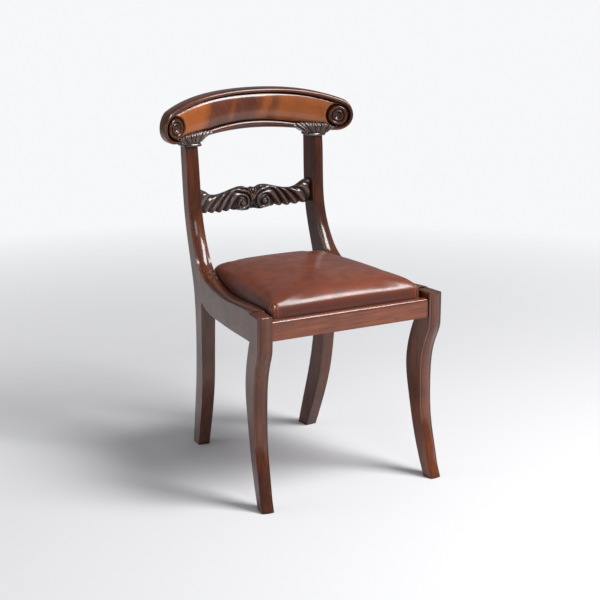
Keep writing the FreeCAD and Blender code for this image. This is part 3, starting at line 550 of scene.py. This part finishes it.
class CHAIR_OT_polish_frame(Operator):
    """Polish the legs, the rails and the crest's roundels"""
    bl_idname = "chair.polish_frame"
    bl_label = "Polish the frame"

    def execute(self, context):
        dark, light = tint_of("polish_dark"), tint_of("polish_light")
        upright = polished_wood("mahogany upright", "z", dark, light)
        lengthways = polished_wood("mahogany side rail", "y", dark, light)
        crossways = polished_wood("mahogany cross rail", "x", dark, light)
        # painted shade: the roundels get a darker copy of the mahogany for their shaded dished
        # faces
        turned = polished_wood("mahogany turned", "x", dark, tuple(0.6 * c for c in light))
        for side in ("left", "right"):
            finish_node("front_leg_" + side, upright)
            finish_node("rear_leg_" + side, upright)
            finish_node("side_rail_" + side, lengthways)
            finish_node("crest_roundel_" + side, turned)
        finish_node("back_rail", crossways)
        # painted light: the front rail gets a lighter copy of the mahogany for its lit front face
        bright = [tuple(gain * c for c in tone) for gain, tone in ((2.6, dark), (2.1, light))]
        finish_node("front_rail", polished_wood("mahogany front rail", "x", *bright, 14.0))
        return {"FINISHED"}


class CHAIR_OT_finish_hidden(Operator):
    """Finish the glue blocks, ledges, dowels, screws and the inside of the seat"""
    bl_idname = "chair.finish_hidden"
    bl_label = "Finish the hidden pieces"

    def execute(self, context):
        bare = ((0.26, 0.15, 0.075), (0.42, 0.27, 0.14))
        beech_x = plain_wood("beech crossways", "x", *bare)
        beech_y = plain_wood("beech lengthways", "y", *bare)
        metal = steel()
        jute = woven("jute webbing", (0.16, 0.11, 0.06), (0.36, 0.26, 0.15), 420)
        wadding = woven("wadding", (0.42, 0.37, 0.29), (0.6, 0.55, 0.46), 160)
        black = woven("dust cloth", (0.02, 0.018, 0.016), (0.06, 0.055, 0.05), 700)
        for side in ("left", "right"):
            finish_node("corner_block_front_" + side, beech_x)
            finish_node("corner_block_rear_" + side, beech_x)
            finish_node("cleat_" + side, beech_y)
            finish_node("seat_rail_" + side, beech_y)
        for material, names in (
                (beech_x, ("seat_rail_front", "seat_rail_back", "front_rail_dowels",
                           "back_rail_dowels", "mid_rail_dowels", "crest_dowels")),
                (beech_y, ("side_rail_dowels", "seat_frame_dowels")),
                (metal, ("corner_block_screws", "cleat_screws", "seat_tacks")),
                (jute, ("seat_webbing_lengthways", "seat_webbing_crossways", "seat_hessian")),
                (wadding, ("seat_stuffing",)), (black, ("seat_dust_cover",))):
            for name in names:
                finish_node(name, material)
        return {"FINISHED"}


# === crest

def crest_surface(x, back=0.0):
    """Y of the crest's hollow front at x, moved back about the same centre."""
    return hollow_arc(x, CREST_RADIUS + back, CREST_FRONT + back)


def crest_lower_edge(q, bottom, chin):
    """Height of the crest's lower edge: even powers of q, from bottom at 0 to chin at 1."""
    return bottom - (bottom - chin) * (1.62 * q ** 2 - 0.10 * q ** 4 - 0.52 * q ** 6)


def crest_outline(top_inset, bottom_inset, end_inset, fullness, steps=72):
    """Front view of the crest as (x, z) points, clockwise from its left shoulder.

    The top and the bottom are even powers of x, and the ends are arcs of an ellipse above and
    of a circle below the ends' centre.
    """
    radius = CREST_END_RADIUS - end_inset
    cx, cz = CREST_END
    rise, fall = CREST_TOP_TURN, CREST_LOW_TURN
    shoulder = (cx + radius * math.cos(rise), cz + fullness * radius * math.sin(rise))
    chin = (cx + radius * math.cos(fall), cz + radius * math.sin(fall))
    q = np.linspace(-1, 1, 2 * steps)
    top = CREST_TOP - top_inset
    upper = top - (top - shoulder[1]) * (0.60 * q ** 2 + 0.40 * q ** 4)
    lower = crest_lower_edge(q, CREST_BOTTOM + bottom_inset, chin[1])
    turn = np.linspace(rise, fall, steps // 2)[1:-1]
    stretch = np.where(turn > 0, fullness, 1.0)
    end_x = cx + radius * np.cos(turn)
    end_z = cz + stretch * radius * np.sin(turn)
    xs = np.concatenate([shoulder[0] * q, end_x, -chin[0] * q, -end_x[::-1]])
    zs = np.concatenate([upper, end_z, lower, end_z[::-1]])
    return np.stack([xs, zs], axis=1)


def coons_grid(outline, steps):
    """Grid of points inside an outline: its four sides blended, less the blend of its corners."""
    across, side = 2 * steps, len(outline) // 2 - 2 * steps
    top = outline[:across]
    right = outline[across - 1:across + side + 1]
    bottom = outline[across + side:2 * across + side][::-1]
    left = np.concatenate([outline[2 * across + side - 1:], outline[:1]])[::-1]
    u = np.linspace(0, 1, across)[:, None, None]
    v = np.linspace(0, 1, side + 2)[None, :, None]
    rails = (1 - v) * top[:, None] + v * bottom[:, None]
    ends = (1 - u) * left[None] + u * right[None]
    corners = ((1 - u) * (1 - v) * top[0] + u * (1 - v) * top[-1]
               + (1 - u) * v * bottom[0] + u * v * bottom[-1])
    return rails + ends - corners


def panel_outline():
    """Outline of the figured panel, a little inside the crest's sunk field."""
    return crest_outline(0.0112, 0.0172, 0.0082, 1.0, steps=160)


def crest_body():
    """Crest rail: a rounded rim swept round the outline, with a sunk floor and a curved back.

    The rim's section rises steeply from the floor, rolls over the front as two quarter
    ellipses, and turns a smaller corner at the back. The floor and the back are Coons grids.
    """
    steps = 72
    full = 1.18
    outer = crest_outline(0, 0, 0, full, steps)
    inner = crest_outline(0.0110, 0.0170, 0.0080, 1.0, steps)
    rise = sizes().rim_rise
    quarter = np.linspace(0, math.pi / 2, 9)
    lead = 0.40
    share = np.concatenate([[0, 0], lead * (1 - np.cos(quarter)),
                            lead + (1 - lead) * np.sin(quarter[1:]), [1.0, 1.0]])
    depth = np.concatenate([[FIELD_DEPTH, 0.004], 0.0015 - (0.0015 + rise) * np.sin(quarter),
                            -rise + (0.0075 + rise) * (1 - np.cos(quarter[1:])),
                            [0.016, CREST_THICKNESS - 0.0045]])
    turn = np.linspace(0.15, math.pi / 2, 6)
    ease = 0.0045
    corner_start = CREST_THICKNESS - ease
    back = crest_outline(ease, ease, ease, full, steps)
    spread = share[None, :, None]
    flat = inner[:, None, :] * (1 - spread) + outer[:, None, :] * spread
    bend = (1 - np.cos(turn))[None, :, None]
    corner = outer[:, None, :] * (1 - bend) + back[:, None, :] * bend
    flat = np.concatenate([flat, corner], axis=1)
    depth = np.concatenate([depth, corner_start + ease * np.sin(turn)])
    y = crest_surface(flat[..., 0], depth[None, :])
    ring = np.stack([flat[..., 0], y, flat[..., 1]], axis=-1)
    count, around = ring.shape[:2]
    faces = [grid_faces(count, around, wrap_rows=True)]
    points = [ring.reshape(-1, 3)]
    start = count * around
    for outline, level in ((inner, FIELD_DEPTH), (back, CREST_THICKNESS)):
        grid = coons_grid(outline, steps)
        y = crest_surface(grid[..., 0], level)
        points.append(np.stack([grid[..., 0], y, grid[..., 1]], axis=-1).reshape(-1, 3))
        rows, columns = grid.shape[:2]
        faces.append(grid_faces(rows, columns, start))
        start += rows * columns
    made = mesh_object("crest_rail_shaped", np.concatenate(points),
                       np.concatenate(faces).tolist())
    tidy_skin(made)
    return made


def panel_relief(x, z):
    """How far the panel stands proud of its groove's floor at (x, z), in metres.

    A pillow: the height rises from the outline as a power ellipse. Round each roundel the
    pillow is drawn down into a moat that is wide on the inner side and closes on the outer.
    """
    bulge = sizes().panel_bulge
    outline = panel_outline()
    step = len(outline) // 6
    near = np.full(x.shape, 1.0)
    for start in range(0, len(outline), step):
        part = outline[start:start + step]
        gap = np.hypot(x[..., None] - part[:, 0], z[..., None] - part[:, 1]).min(axis=-1)
        near = np.minimum(near, gap)
    roll, power = 0.029, 2.15
    deep = 1 - np.clip(near / roll, 0, 1)
    height = bulge * (1 - deep ** power) ** (1 / power)
    from_roundel = np.hypot(np.abs(x) - ROUNDEL[0], z - ROUNDEL[1])
    heading = np.arctan2(z - ROUNDEL[1], ROUNDEL[0] - np.abs(x))
    width = 0.0012 + 0.0105 * (0.5 + 0.5 * np.cos(heading - 0.35)) ** 1.2
    roundel_edge = 0.0235
    return height * smooth_step((from_roundel - roundel_edge) / width)


def crest_panel():
    """Figured panel: a grid of columns between the outline's top and bottom lines."""
    outline = panel_outline()
    columns, rows = 300, 64
    limit = outline[:, 0].max() - 0.0002
    u = np.sin(np.linspace(-0.5, 0.5, columns) * math.pi)
    x = limit * (0.35 * u + 0.65 * np.linspace(-1, 1, columns))
    outline = np.roll(outline, -outline[:, 0].argmin(), axis=0)
    right = outline[:, 0].argmax()
    high = np.interp(x, outline[:right + 1, 0], outline[:right + 1, 1])
    lower = np.concatenate([outline[right:], outline[:1]])[::-1]
    low = np.interp(x, lower[:, 0], lower[:, 1])
    v = (1 - np.cos(np.linspace(0, math.pi, rows))) / 2
    z = low[:, None] + (high - low)[:, None] * v[None, :]
    xx = np.broadcast_to(x[:, None], z.shape)
    y = crest_surface(xx, FIELD_DEPTH - 0.0006) - panel_relief(xx, z)
    return plated("figured_panel", np.stack([xx, y, z], axis=-1), 9,
                  lambda at: crest_surface(at, FIELD_DEPTH))


class CHAIR_OT_build_crest(Operator):
    """Build the crest rail's rounded rim and its bolstered figured panel"""
    bl_idname = "chair.build_crest"
    bl_label = "Build the crest"

    def execute(self, context):
        rail = crest_body()
        rail.data.materials.append(polished_wood("mahogany crest", "x", tint_of("polish_dark"),
                                                 tint_of("polish_light")))
        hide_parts("crest_rail")
        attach(rail, "frame")
        panel = crest_panel()
        panel.data.materials.append(flame_wood(tint_of("flame_dark"), tint_of("flame_light")))
        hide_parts("crest_panel")
        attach(panel, "frame")
        return {"FINISHED"}


# === middle rail

def mid_lines(x):
    """Heights of the middle rail's top and bottom lines at x, read between a few set points."""
    share = np.abs(x) / MID_HALF
    top_at = [0.0, 0.06, 0.14, 0.22, 0.37, 0.50, 0.62, 0.72, 0.80, 0.90, 1.0]
    top = [-0.002, -0.004, 0.0005, 0.0012, -0.003, -0.0080, -0.0112, -0.0112, -0.0075, 0.002,
           0.009]
    low_at = [0.0, 0.06, 0.12, 0.20, 0.30, 0.42, 0.60, 0.80, 1.0]
    low = [0.0030, 0.0022, 0.0006, 0.0, 0.0035, 0.0042, 0.0030, 0.0050, 0.0085]
    high = MID_BASE + MID_HEIGHT + smooth_interp(share, top_at, top)
    base = MID_BASE + smooth_interp(share, low_at, low)
    return high, base


def mid_arc(x):
    """Y of the middle rail's hollow front at x."""
    return hollow_arc(x, MID_RADIUS, MID_FRONT)


def smooth_interp(x, knots, values):
    """Cubic pieces through the knots, with each knot's slope taken from its neighbours."""
    knots, values = np.asarray(knots), np.asarray(values)
    slope = np.gradient(values, knots)
    index = np.clip(np.searchsorted(knots, x) - 1, 0, len(knots) - 2)
    width = knots[index + 1] - knots[index]
    t = np.clip((x - knots[index]) / width, 0, 1)
    return ((2 * t ** 3 - 3 * t ** 2 + 1) * values[index]
            + (t ** 3 - 2 * t ** 2 + t) * width * slope[index]
            + (3 * t ** 2 - 2 * t ** 3) * values[index + 1]
            + (t ** 3 - t ** 2) * width * slope[index + 1])


def gadroon_phase(x, depth):
    """Number of the ridge at x and at a depth below the top line from 0 to 1.

    Each ridge starts nearly level at the top line, and turns down as it runs outwards.
    """
    return (np.abs(x) - 0.042 * depth ** 0.55 + 0.0031) / sizes().gadroon_pitch


def mid_relief(x, z, high, base):
    """Carving of the middle rail, 0 in the grooves to 1 on the ridges.

    Ridges sweep outwards from the volutes. Near a volute they follow its spiral, whose radius
    grows with the turn. A small leaf fills the top between the volutes.
    """
    depth = np.clip((high - z) / (high - base), 0, 1)
    dx, dz = np.abs(x) - VOLUTE[0], z - VOLUTE[1]
    r = np.hypot(dx, dz)
    turn = (np.arctan2(-dz, dx) / (2 * math.pi) + 0.25) % 1.0
    coil = COIL_START + COIL_PITCH * turn
    sweep = gadroon_phase(x, depth)
    around = 1.5 + (r - coil - COIL_PITCH * (turn < 0.5)) / 0.0100
    near = smooth_step((0.060 - np.abs(x)) / 0.034)
    phase = sweep + near * (around - sweep)
    wings = ridge(phase) ** 1.2
    edge = coil + COIL_PITCH / 2
    inside = smooth_step((edge - r) / 0.0012)
    ring = ridge((r - coil) / COIL_PITCH + 0.5) * smooth_step(turn / 0.12)
    ring = np.where(r < coil - COIL_PITCH / 2, 0, ring)
    eye = 0.0078
    button = smooth_step((eye - r) / 0.0022) * (1 - 0.30 * (r / eye) ** 2)
    relief = wings * (1 - inside) + np.maximum(ring, button) * inside
    leaf_width = 0.0105 * smooth_step((z - (high - 0.032)) / 0.026)
    leaf = smooth_step((leaf_width - np.abs(x)) / 0.0018)
    veins = ridge((np.abs(x) + 0.30 * (high - z)) / 0.0052)
    relief = relief * (1 - leaf) + (0.20 + 0.70 * veins) * leaf
    hollow = smooth_step((0.0115 - np.abs(x)) / 0.004) * smooth_step((0.592 - z) / 0.008)
    relief = relief * (1 - 0.8 * hollow)
    rim = smooth_step((high - z) / 0.0022)
    return np.clip(relief, 0, 1) * (0.5 + 0.5 * rim)


def middle_rail():
    """Carved middle rail: sections of a front of many points and a plain back, along x."""
    counts = bpy.context.scene.chair_counts
    x = np.linspace(-MID_HALF, MID_HALF, counts.carving_columns)
    high, base = mid_lines(x)
    scallop = ridge(gadroon_phase(x, 1.0))
    outside = smooth_step((np.abs(x) - 0.044) / 0.006)
    base = base + 0.0034 * (1 - scallop) * outside
    v = np.linspace(0, 1, counts.carving_rows)
    z = base[:, None] + (high - base)[:, None] * v[None, :]
    xx = np.broadcast_to(x[:, None], z.shape)
    relief = mid_relief(xx, z, high[:, None], base[:, None])
    dx, dz = np.abs(xx) - VOLUTE[0], z - VOLUTE[1]
    button = 0.0045 * smooth_step((0.0195 - np.hypot(dx, dz)) / 0.012)
    rounding = 0.0045 * (np.abs(2 * v - 1) ** 6)[None, :]
    carved = sizes().gadroon_depth * (1 - 0.55 * smooth_step((np.abs(xx) - 0.112) / 0.020))
    y = mid_arc(xx) + carved * (1 - relief) - button + rounding - 0.0005
    made = plated("carved_middle_rail", np.stack([xx, y, z], axis=-1), 27,
                  lambda at: mid_arc(at) + 0.0175)
    place = point_array(made)
    top, low = mid_lines(place[:, 0])
    level = mid_relief(place[:, 0], place[:, 2], top, low)
    behind = place[:, 1] > mid_arc(place[:, 0]) + 0.010
    # the relief also sets the painted shade in the grooves and the painted highlight on the
    # ridges
    set_attribute(made, "relief", np.where(behind, 0.72, level))
    return made


class CHAIR_OT_build_middle_rail(Operator):
    """Build the carved and scrolled middle rail"""
    bl_idname = "chair.build_middle_rail"
    bl_label = "Build the middle rail"

    def execute(self, context):
        rail = middle_rail()
        rail.data.materials.append(carved_wood(tint_of("carving_shade_and_polish"), tint_of("carving_highlight_and_rub")))
        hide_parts("mid_rail")
        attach(rail, "frame")
        return {"FINISHED"}


# === brackets

def bracket_relief(t, z, low):
    """Carving of a bracket's leaf: strokes that fan from below its middle, and two eyes.

    t is the distance from the stile's middle towards the crest's end, and low the foot's height.
    """
    up = z - low
    heading = np.arctan2(t, up + 0.016)
    lobes = ridge(heading / 0.42 + 0.5, 2.4) ** 0.8
    strokes = ridge(heading / 0.14 + 0.5 + 9 * up)
    relief = 0.55 * lobes + 0.45 * strokes
    for place in (-0.0135, 0.0175):
        eye = np.hypot((t - place) / 1.25, up - 0.0315)
        relief = relief * smooth_step((eye - 0.0024) / 0.0016)
    return np.clip(relief, 0, 1)


def bracket_leaf(name, side):
    """Carved leaf over the crest's lower edge: columns across it, each a closed section."""
    sign = 1 if side == "right" else -1
    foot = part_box("rear_leg_" + side)[1].z + 0.0055
    t = np.linspace(-0.064, 0.046, 180)
    x = sign * (STILE_X + t)
    low = foot + smooth_interp(t, [-0.064, -0.050, -0.040, -0.030, -0.023, -0.019, 0, 0.019,
                                   0.024, 0.031, 0.040, 0.046],
                               [0.0185, 0.0165, 0.0120, 0.0050, 0.0015, 0, 0, 0, 0.0020,
                                0.0075, 0.0130, 0.0150])
    chin = CREST_END[1] + CREST_END_RADIUS * math.sin(CREST_LOW_TURN)
    chin_inset = 0.0039
    across = np.clip(np.abs(x) / (CREST_END[0] - chin_inset), 0, 1)
    edge = crest_lower_edge(across, CREST_BOTTOM, chin)
    top = edge + smooth_interp(t, [-0.064, -0.050, -0.034, -0.015, 0, 0.018, 0.030, 0.046],
                               [0.0050, 0.0125, 0.0160, 0.0175, 0.0182, 0.0178, 0.0150, 0.0050])
    lobed = 0.0010 * np.cos(t / 0.0095 * 2 * math.pi)
    top = np.maximum(top + lobed, low + 0.0015)
    v = np.linspace(0, 1, 60)
    z = low[:, None] + (top - low)[:, None] * v[None, :]
    tt = np.broadcast_to(t[:, None], z.shape)
    relief = bracket_relief(tt, z, foot)
    xx = sign * (STILE_X + tt)
    rounding = (1 - np.abs(2 * v - 1) ** 3.0)[None, :] ** 0.6
    middle = np.exp(-(tt / 0.030) ** 2)
    out = 0.0022 + (0.0040 + 0.0045 * middle) * rounding
    y = crest_surface(xx) - out + sizes().leaf_depth * (1 - relief) * rounding
    front = np.stack([xx, y, z], axis=-1)
    back = front[:, ::-59].copy()
    back[..., 1] = crest_surface(back[..., 0]) + np.array([0.001, 0.0285])
    back[:, 1, 2] = np.minimum(back[:, 1, 2], edge + 0.004)
    made = lofted(name, np.concatenate([front, back], axis=1))
    place = point_array(made)
    level = bracket_relief(sign * place[:, 0] - STILE_X, place[:, 2], foot)
    behind = place[:, 1] > crest_surface(place[:, 0]) + 0.0005
    # the relief also sets the painted shade in the grooves and eyes and the painted highlight on
    # the ridges
    set_attribute(made, "relief", np.where(behind, 0.7, level))
    return made


def bracket_cap(name, side):
    """Roped cap of a stile: a stack of rounded oblongs whose size swells and shrinks with z."""
    sign = 1 if side == "right" else -1
    half_wide, half_deep, centre = 0.0225, 0.0235, 0.2240
    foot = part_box("rear_leg_" + side)[1].z
    around = np.linspace(0, 2 * math.pi, 240, endpoint=False)
    level = np.concatenate([[0.0], np.linspace(0, 1, 14), [1.0]])
    round_off = np.sin(np.linspace(0, math.pi, 14)) ** 0.6
    grow = np.concatenate([[-0.006], -0.0030 + 0.0030 * round_off, [-0.006]])
    rope = 0.0005 * np.sin(36 * around[None, :] + 7 * level[:, None])
    rope = rope * (grow[:, None] > -0.002)
    half_x = half_wide + grow[:, None] + rope
    half_y = half_deep + grow[:, None] + rope
    power = 0.22
    cos, sin = np.cos(around)[None, :], np.sin(around)[None, :]
    x = STILE_X + half_x * np.sign(cos) * np.abs(cos) ** power
    y = centre + half_y * np.sign(sin) * np.abs(sin) ** power
    z = foot + CAP_HEIGHT * np.broadcast_to(level[:, None], x.shape)
    made = lofted(name, np.stack([sign * x, y, z], axis=-1))
    place = point_array(made)
    up = (place[:, 2] - foot) / CAP_HEIGHT
    # painted light: the cap is lighter at its swell and darker at its top and foot
    set_attribute(made, "relief", 0.35 + 0.45 * np.sin(up * math.pi))
    return made


class CHAIR_OT_carve_brackets(Operator):
    """Carve the leaf brackets between the stiles and the crest"""
    bl_idname = "chair.carve_brackets"
    bl_label = "Carve the brackets"

    def execute(self, context):
        wood = carved_wood(tint_of("carving_shade_and_polish"), tint_of("carving_highlight_and_rub"))
        for side in ("left", "right"):
            pieces = (bracket_leaf("bracket_leaf_" + side, side),
                      bracket_cap("bracket_cap_" + side, side))
            for made in pieces:
                made.data.materials.append(wood)
                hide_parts("bracket_" + side)
                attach(made, "frame")
        return {"FINISHED"}


# === seat

def pad_form(name, grow=0.0):
    """Leather seat as a closed grid over a tapered plan with rounded corners.

    X and Y run from -1 to 1 across and along the plan, and D is the thirtieth-power norm of both,
    1 at most. The height over the upright wall's top is (1 - D^5)^(1/2.3) of the full rise, and
    falls by up to 30 % towards the corners. The wall goes straight down from the plan's edge.
    """
    low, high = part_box("seat_cover")
    count = 90
    u = np.sin(np.linspace(-0.5, 0.5, count) * math.pi)
    xs, ys = np.meshgrid(u, u, indexing="ij")
    norm = 30
    reach = (np.abs(xs) ** norm + np.abs(ys) ** norm) ** (1 / norm)
    xs, ys = xs / np.maximum(reach, 1), ys / np.maximum(reach, 1)
    reach = np.minimum(reach, 1)
    middle = (low.y + high.y) / 2
    length = (high.y - low.y) / 2 + grow
    y = middle + ys * length
    front_half, back_half = 0.1950, 0.1480
    half = front_half + (back_half - front_half) * (y - low.y) / (high.y - low.y) + grow
    x = xs * half
    crown = 1 - 0.15 * (xs ** 2 + ys ** 2)
    rise = (1 - reach ** 5) ** (1 / 2.3)
    z = PAD_EDGE + (high.z - PAD_EDGE + grow) * rise * crown
    top = np.stack([x, y, z], axis=-1).reshape(-1, 3)
    ring = np.concatenate([np.arange(count) * count, (count - 1) * count + np.arange(1, count),
                           np.arange(count - 2, -1, -1) * count + count - 1,
                           np.arange(count - 2, 0, -1)])
    foot = top[ring].copy()
    foot[:, 2] = low.z
    faces = grid_faces(count, count).tolist()
    start = count * count
    around = len(ring)
    skirt = [[int(ring[k]), int(ring[(k + 1) % around]), start + (k + 1) % around, start + k]
             for k in range(around)]
    made = mesh_object(name, np.concatenate([top, foot]), faces + skirt
                       + [[start + k for k in range(around)]])
    tidy_skin(made)
    return made


def apply_modifiers(made):
    """Bake the object's modifiers into its mesh."""
    graph = bpy.context.evaluated_depsgraph_get()
    baked = bpy.data.meshes.new_from_object(made.evaluated_get(graph))
    made.modifiers.clear()
    made.data = baked


def swell(made, cap, frames):
    """Blow the pad up as cloth under pressure, with its floor pinned and its travel capped."""
    pin_below = PAD_EDGE - 0.013
    before = point_array(made)
    pinned = made.vertex_groups.new(name="floor")
    held = np.flatnonzero(before[:, 2] < pin_below)
    pinned.add(held.tolist(), 1.0, "REPLACE")
    cloth = made.modifiers.new("Cloth", "CLOTH")
    stuff = cloth.settings
    stuff.effector_weights.gravity = 0.0
    stuff.use_pressure = True
    stuff.uniform_pressure_force = 4.0
    stuff.vertex_group_mass = "floor"
    stuff.tension_stiffness = 15
    stuff.compression_stiffness = 15
    stuff.bending_stiffness = 8
    cloth.point_cache.frame_start = 1
    cloth.point_cache.frame_end = frames
    for step in range(1, frames + 1):
        bpy.context.scene.frame_set(step)
    apply_modifiers(made)
    bpy.context.scene.frame_set(1)
    after = point_array(made)
    move = after - before
    travel = np.linalg.norm(move, axis=1, keepdims=True)
    move *= np.minimum(1, cap / np.maximum(travel, 1e-9))
    move_points(made, before + move)
    settle = made.modifiers.new("Smooth", "SMOOTH")
    settle.factor = 0.5
    settle.iterations = 12
    apply_modifiers(made)


def seat_leather():
    """The drop-in seat's leather: swollen form, corner folds, where it is worn, and painted shade
    on its sides and in its folds.
    """
    settings = sizes()
    made = pad_form("leather_seat", -0.0005)
    remesh = made.modifiers.new("Remesh", "REMESH")
    remesh.mode = "VOXEL"
    remesh.voxel_size = settings.remesh_step
    apply_modifiers(made)
    swell(made, settings.pad_swell, bpy.context.scene.chair_counts.swell_frames)
    finer = made.modifiers.new("Subdivision", "SUBSURF")
    finer.levels = finer.render_levels = 1
    apply_modifiers(made)
    made.data.polygons.foreach_set("use_smooth", np.full(len(made.data.polygons), True))
    points = point_array(made)
    low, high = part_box("seat_cover")
    half = 0.1960 - 0.0484 * (points[:, 1] - low.y) / (high.y - low.y)
    to_side = half - np.abs(points[:, 0])
    to_front = points[:, 1] - low.y
    crease = np.zeros(len(points))
    rubbed = np.zeros(len(points))
    fold, fold_width, rub_offset, rub_width = 0.015, 0.0016, 0.0032, 0.0011
    for line in (to_front - fold - 0.10 * to_side, to_side - fold - 0.12 * to_front):
        crease = np.maximum(crease, np.exp(-(line / fold_width) ** 2))
        rubbed = np.maximum(rubbed, np.exp(-((line - rub_offset) / rub_width) ** 2))
    near_corner = smooth_step(1.4 - np.hypot(to_side, to_front) / 0.030)
    upright = smooth_step((0.480 - points[:, 2]) / 0.020)
    crease *= near_corner * upright
    rubbed *= near_corner * upright
    normals = np.empty(len(points) * 3)
    made.data.vertices.foreach_get("normal", normals)
    points -= normals.reshape(-1, 3) * (settings.fold_depth * crease)[:, None]
    points[:, 2] = np.maximum(points[:, 2], low.z)
    move_points(made, points)
    worn = np.maximum(0.75 * rubbed, 0.12 * near_corner * upright * (1 - crease))
    # painted shade: darker towards the bottom of the seat's sides and along the corner creases
    edge = 0.7 * smooth_step((0.466 - points[:, 2]) / 0.030)
    edge = np.maximum(edge, 0.7 * crease)
    set_attribute(made, "wear", worn)
    set_attribute(made, "edge", edge)
    return made


class CHAIR_OT_upholster_seat(Operator):
    """Cover the drop-in seat with swollen leather"""
    bl_idname = "chair.upholster_seat"
    bl_label = "Upholster the seat"

    def execute(self, context):
        made = seat_leather()
        made.data.materials.append(leather(tint_of("hide"), tint_of("hide_worn"),
                                           tint_of("hide_dark")))
        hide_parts("seat_cover", "seat_stuffing")
        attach(made, "seat")
        return {"FINISHED"}


# === stage

def lamp(name, place, target, width, height, power):
    """A rectangular soft light at place, aimed at target."""
    data = bpy.data.lights.new(name, "AREA")
    data.shape = "RECTANGLE"
    data.size = width
    data.size_y = height
    data.energy = power
    made = bpy.data.objects.new(name, data)
    made.location = place
    made.visible_camera = False
    made.rotation_mode = "QUATERNION"
    made.rotation_quaternion = (Vector(target) - Vector(place)).to_track_quat("-Z", "Y")
    bpy.context.scene.collection.objects.link(made)
    return made


def blended(tree, share, first, second):
    """Output of a blend of two shaders."""
    made = node(tree, "MixShader")
    for index, value in enumerate((share, first.outputs[0], second.outputs[0])):
        join(tree, value, made.inputs[index])
    return made.outputs[0]


def pale_floor():
    """A floor that fades into the backdrop away from the chair, for the camera only."""
    span = np.linspace(-15, 15, 3)
    xs, ys = np.meshgrid(span, span, indexing="ij")
    points = np.stack([xs, ys, np.zeros_like(xs)], axis=-1)
    floor = mesh_object("floor", points, grid_faces(3, 3).tolist())
    made, tree, shader = new_material("pale floor")
    fill(tree, shader, {"Base_Color": (0.80, 0.80, 0.81, 1), "Roughness": 0.9})
    reach = node(tree, "VectorMath", {"operation": "LENGTH"}, Vector=object_vector(tree))
    far = ranged(tree, reach.outputs["Value"], 0.9, 2.6)
    seen = node(tree, "LightPath").outputs["Is Camera Ray"]
    glow = node(tree, "Emission", Color=HAZE, Strength=1.0)
    end = next(n for n in tree.nodes if n.type == "OUTPUT_MATERIAL")
    fill(tree, end, {"Surface": blended(tree, times(tree, far, seen), shader, glow)})
    floor.data.materials.append(made)
    return floor


def pale_world():
    """Dim light from all sides, behind which the camera sees a bright backdrop."""
    world = bpy.data.worlds.new("pale room")
    world.use_nodes = True
    tree = world.node_tree
    tree.nodes.clear()
    seen = node(tree, "LightPath").outputs["Is Camera Ray"]
    plain = node(tree, "Background", Color=(0.93, 0.95, 1.0, 1), Strength=0.22)
    shown = node(tree, "Background", Color=HAZE, Strength=1.0)
    node(tree, "OutputWorld", Surface=blended(tree, seen, plain, shown))
    return world


def photo_camera():
    """The camera that was fitted to the photograph."""
    data = bpy.data.cameras.new("camera")
    data.lens = 98.68
    data.sensor_width = 36.0
    data.clip_start = 0.1
    data.clip_end = 100
    camera = bpy.data.objects.new("camera", data)
    bpy.context.scene.collection.objects.link(camera)
    place = Vector((-1.8063, -3.2043, 1.3999))
    target = Vector((-0.03943, -0.07847, 0.41644))
    look = (target - place).to_track_quat("-Z", "Y").to_matrix().to_4x4()
    roll = Matrix.Rotation(math.radians(0.26), 4, "Z")
    camera.matrix_world = Matrix.Translation(place) @ look @ roll
    return camera


class CHAIR_OT_set_stage(Operator):
    """Lay the pale floor, light the room and set the camera"""
    bl_idname = "chair.set_stage"
    bl_label = "Set the stage"

    def execute(self, context):
        floor = pale_floor()
        context.scene.world = pale_world()
        lamp("window above right", (1.45, -1.65, 3.1), (0, 0, 0.6), 1.3, 2.0, 150)
        lamp("front fill", (-0.6, -3.2, 2.0), (0, 0, 0.45), 1.2, 1.0, 16)
        lamp("left wall", (-2.8, 0.6, 1.0), (0, 0, 0.45), 2.2, 1.8, 14)
        context.scene.camera = photo_camera()
        context.scene.view_settings.view_transform = "Standard"
        return {"FINISHED"}


# === panel and registration

class CHAIR_PT_dresser(Panel):
    """Steps and settings of the chair"""
    bl_label = "Klismos chair"
    bl_idname = "CHAIR_PT_dresser"
    bl_space_type = "VIEW_3D"
    bl_region_type = "UI"
    bl_category = "Chair"

    def draw(self, context):
        for operator in OPERATORS:
            self.layout.operator(operator.bl_idname)
        for group in (context.scene.chair_sizes, context.scene.chair_colours,
                      context.scene.chair_counts):
            column = self.layout.column()
            for name in group.bl_rna.properties.keys():
                if name not in ("rna_type", "name"):
                    column.prop(group, name)


OPERATORS = (CHAIR_OT_set_stage, CHAIR_OT_polish_frame, CHAIR_OT_finish_hidden,
             CHAIR_OT_build_crest, CHAIR_OT_build_middle_rail, CHAIR_OT_carve_brackets,
             CHAIR_OT_upholster_seat)
CLASSES = (ChairSizes, ChairColours, ChairCounts) + OPERATORS + (CHAIR_PT_dresser,)


def register():
    """Make the classes known and hang the settings on the scene."""
    for one in CLASSES:
        bpy.utils.register_class(one)
    bpy.types.Scene.chair_sizes = PointerProperty(type=ChairSizes)
    bpy.types.Scene.chair_colours = PointerProperty(type=ChairColours)
    bpy.types.Scene.chair_counts = PointerProperty(type=ChairCounts)


def unregister():
    """Take the settings and the classes away again."""
    del bpy.types.Scene.chair_counts
    del bpy.types.Scene.chair_colours
    del bpy.types.Scene.chair_sizes
    for one in reversed(CLASSES):
        bpy.utils.unregister_class(one)


def main():
    """Run every step in order."""
    register()
    bpy.ops.chair.set_stage()
    bpy.ops.chair.polish_frame()
    bpy.ops.chair.finish_hidden()
    bpy.ops.chair.build_crest()
    bpy.ops.chair.build_middle_rail()
    bpy.ops.chair.carve_brackets()
    bpy.ops.chair.upholster_seat()


if __name__ == "__main__":
    main()
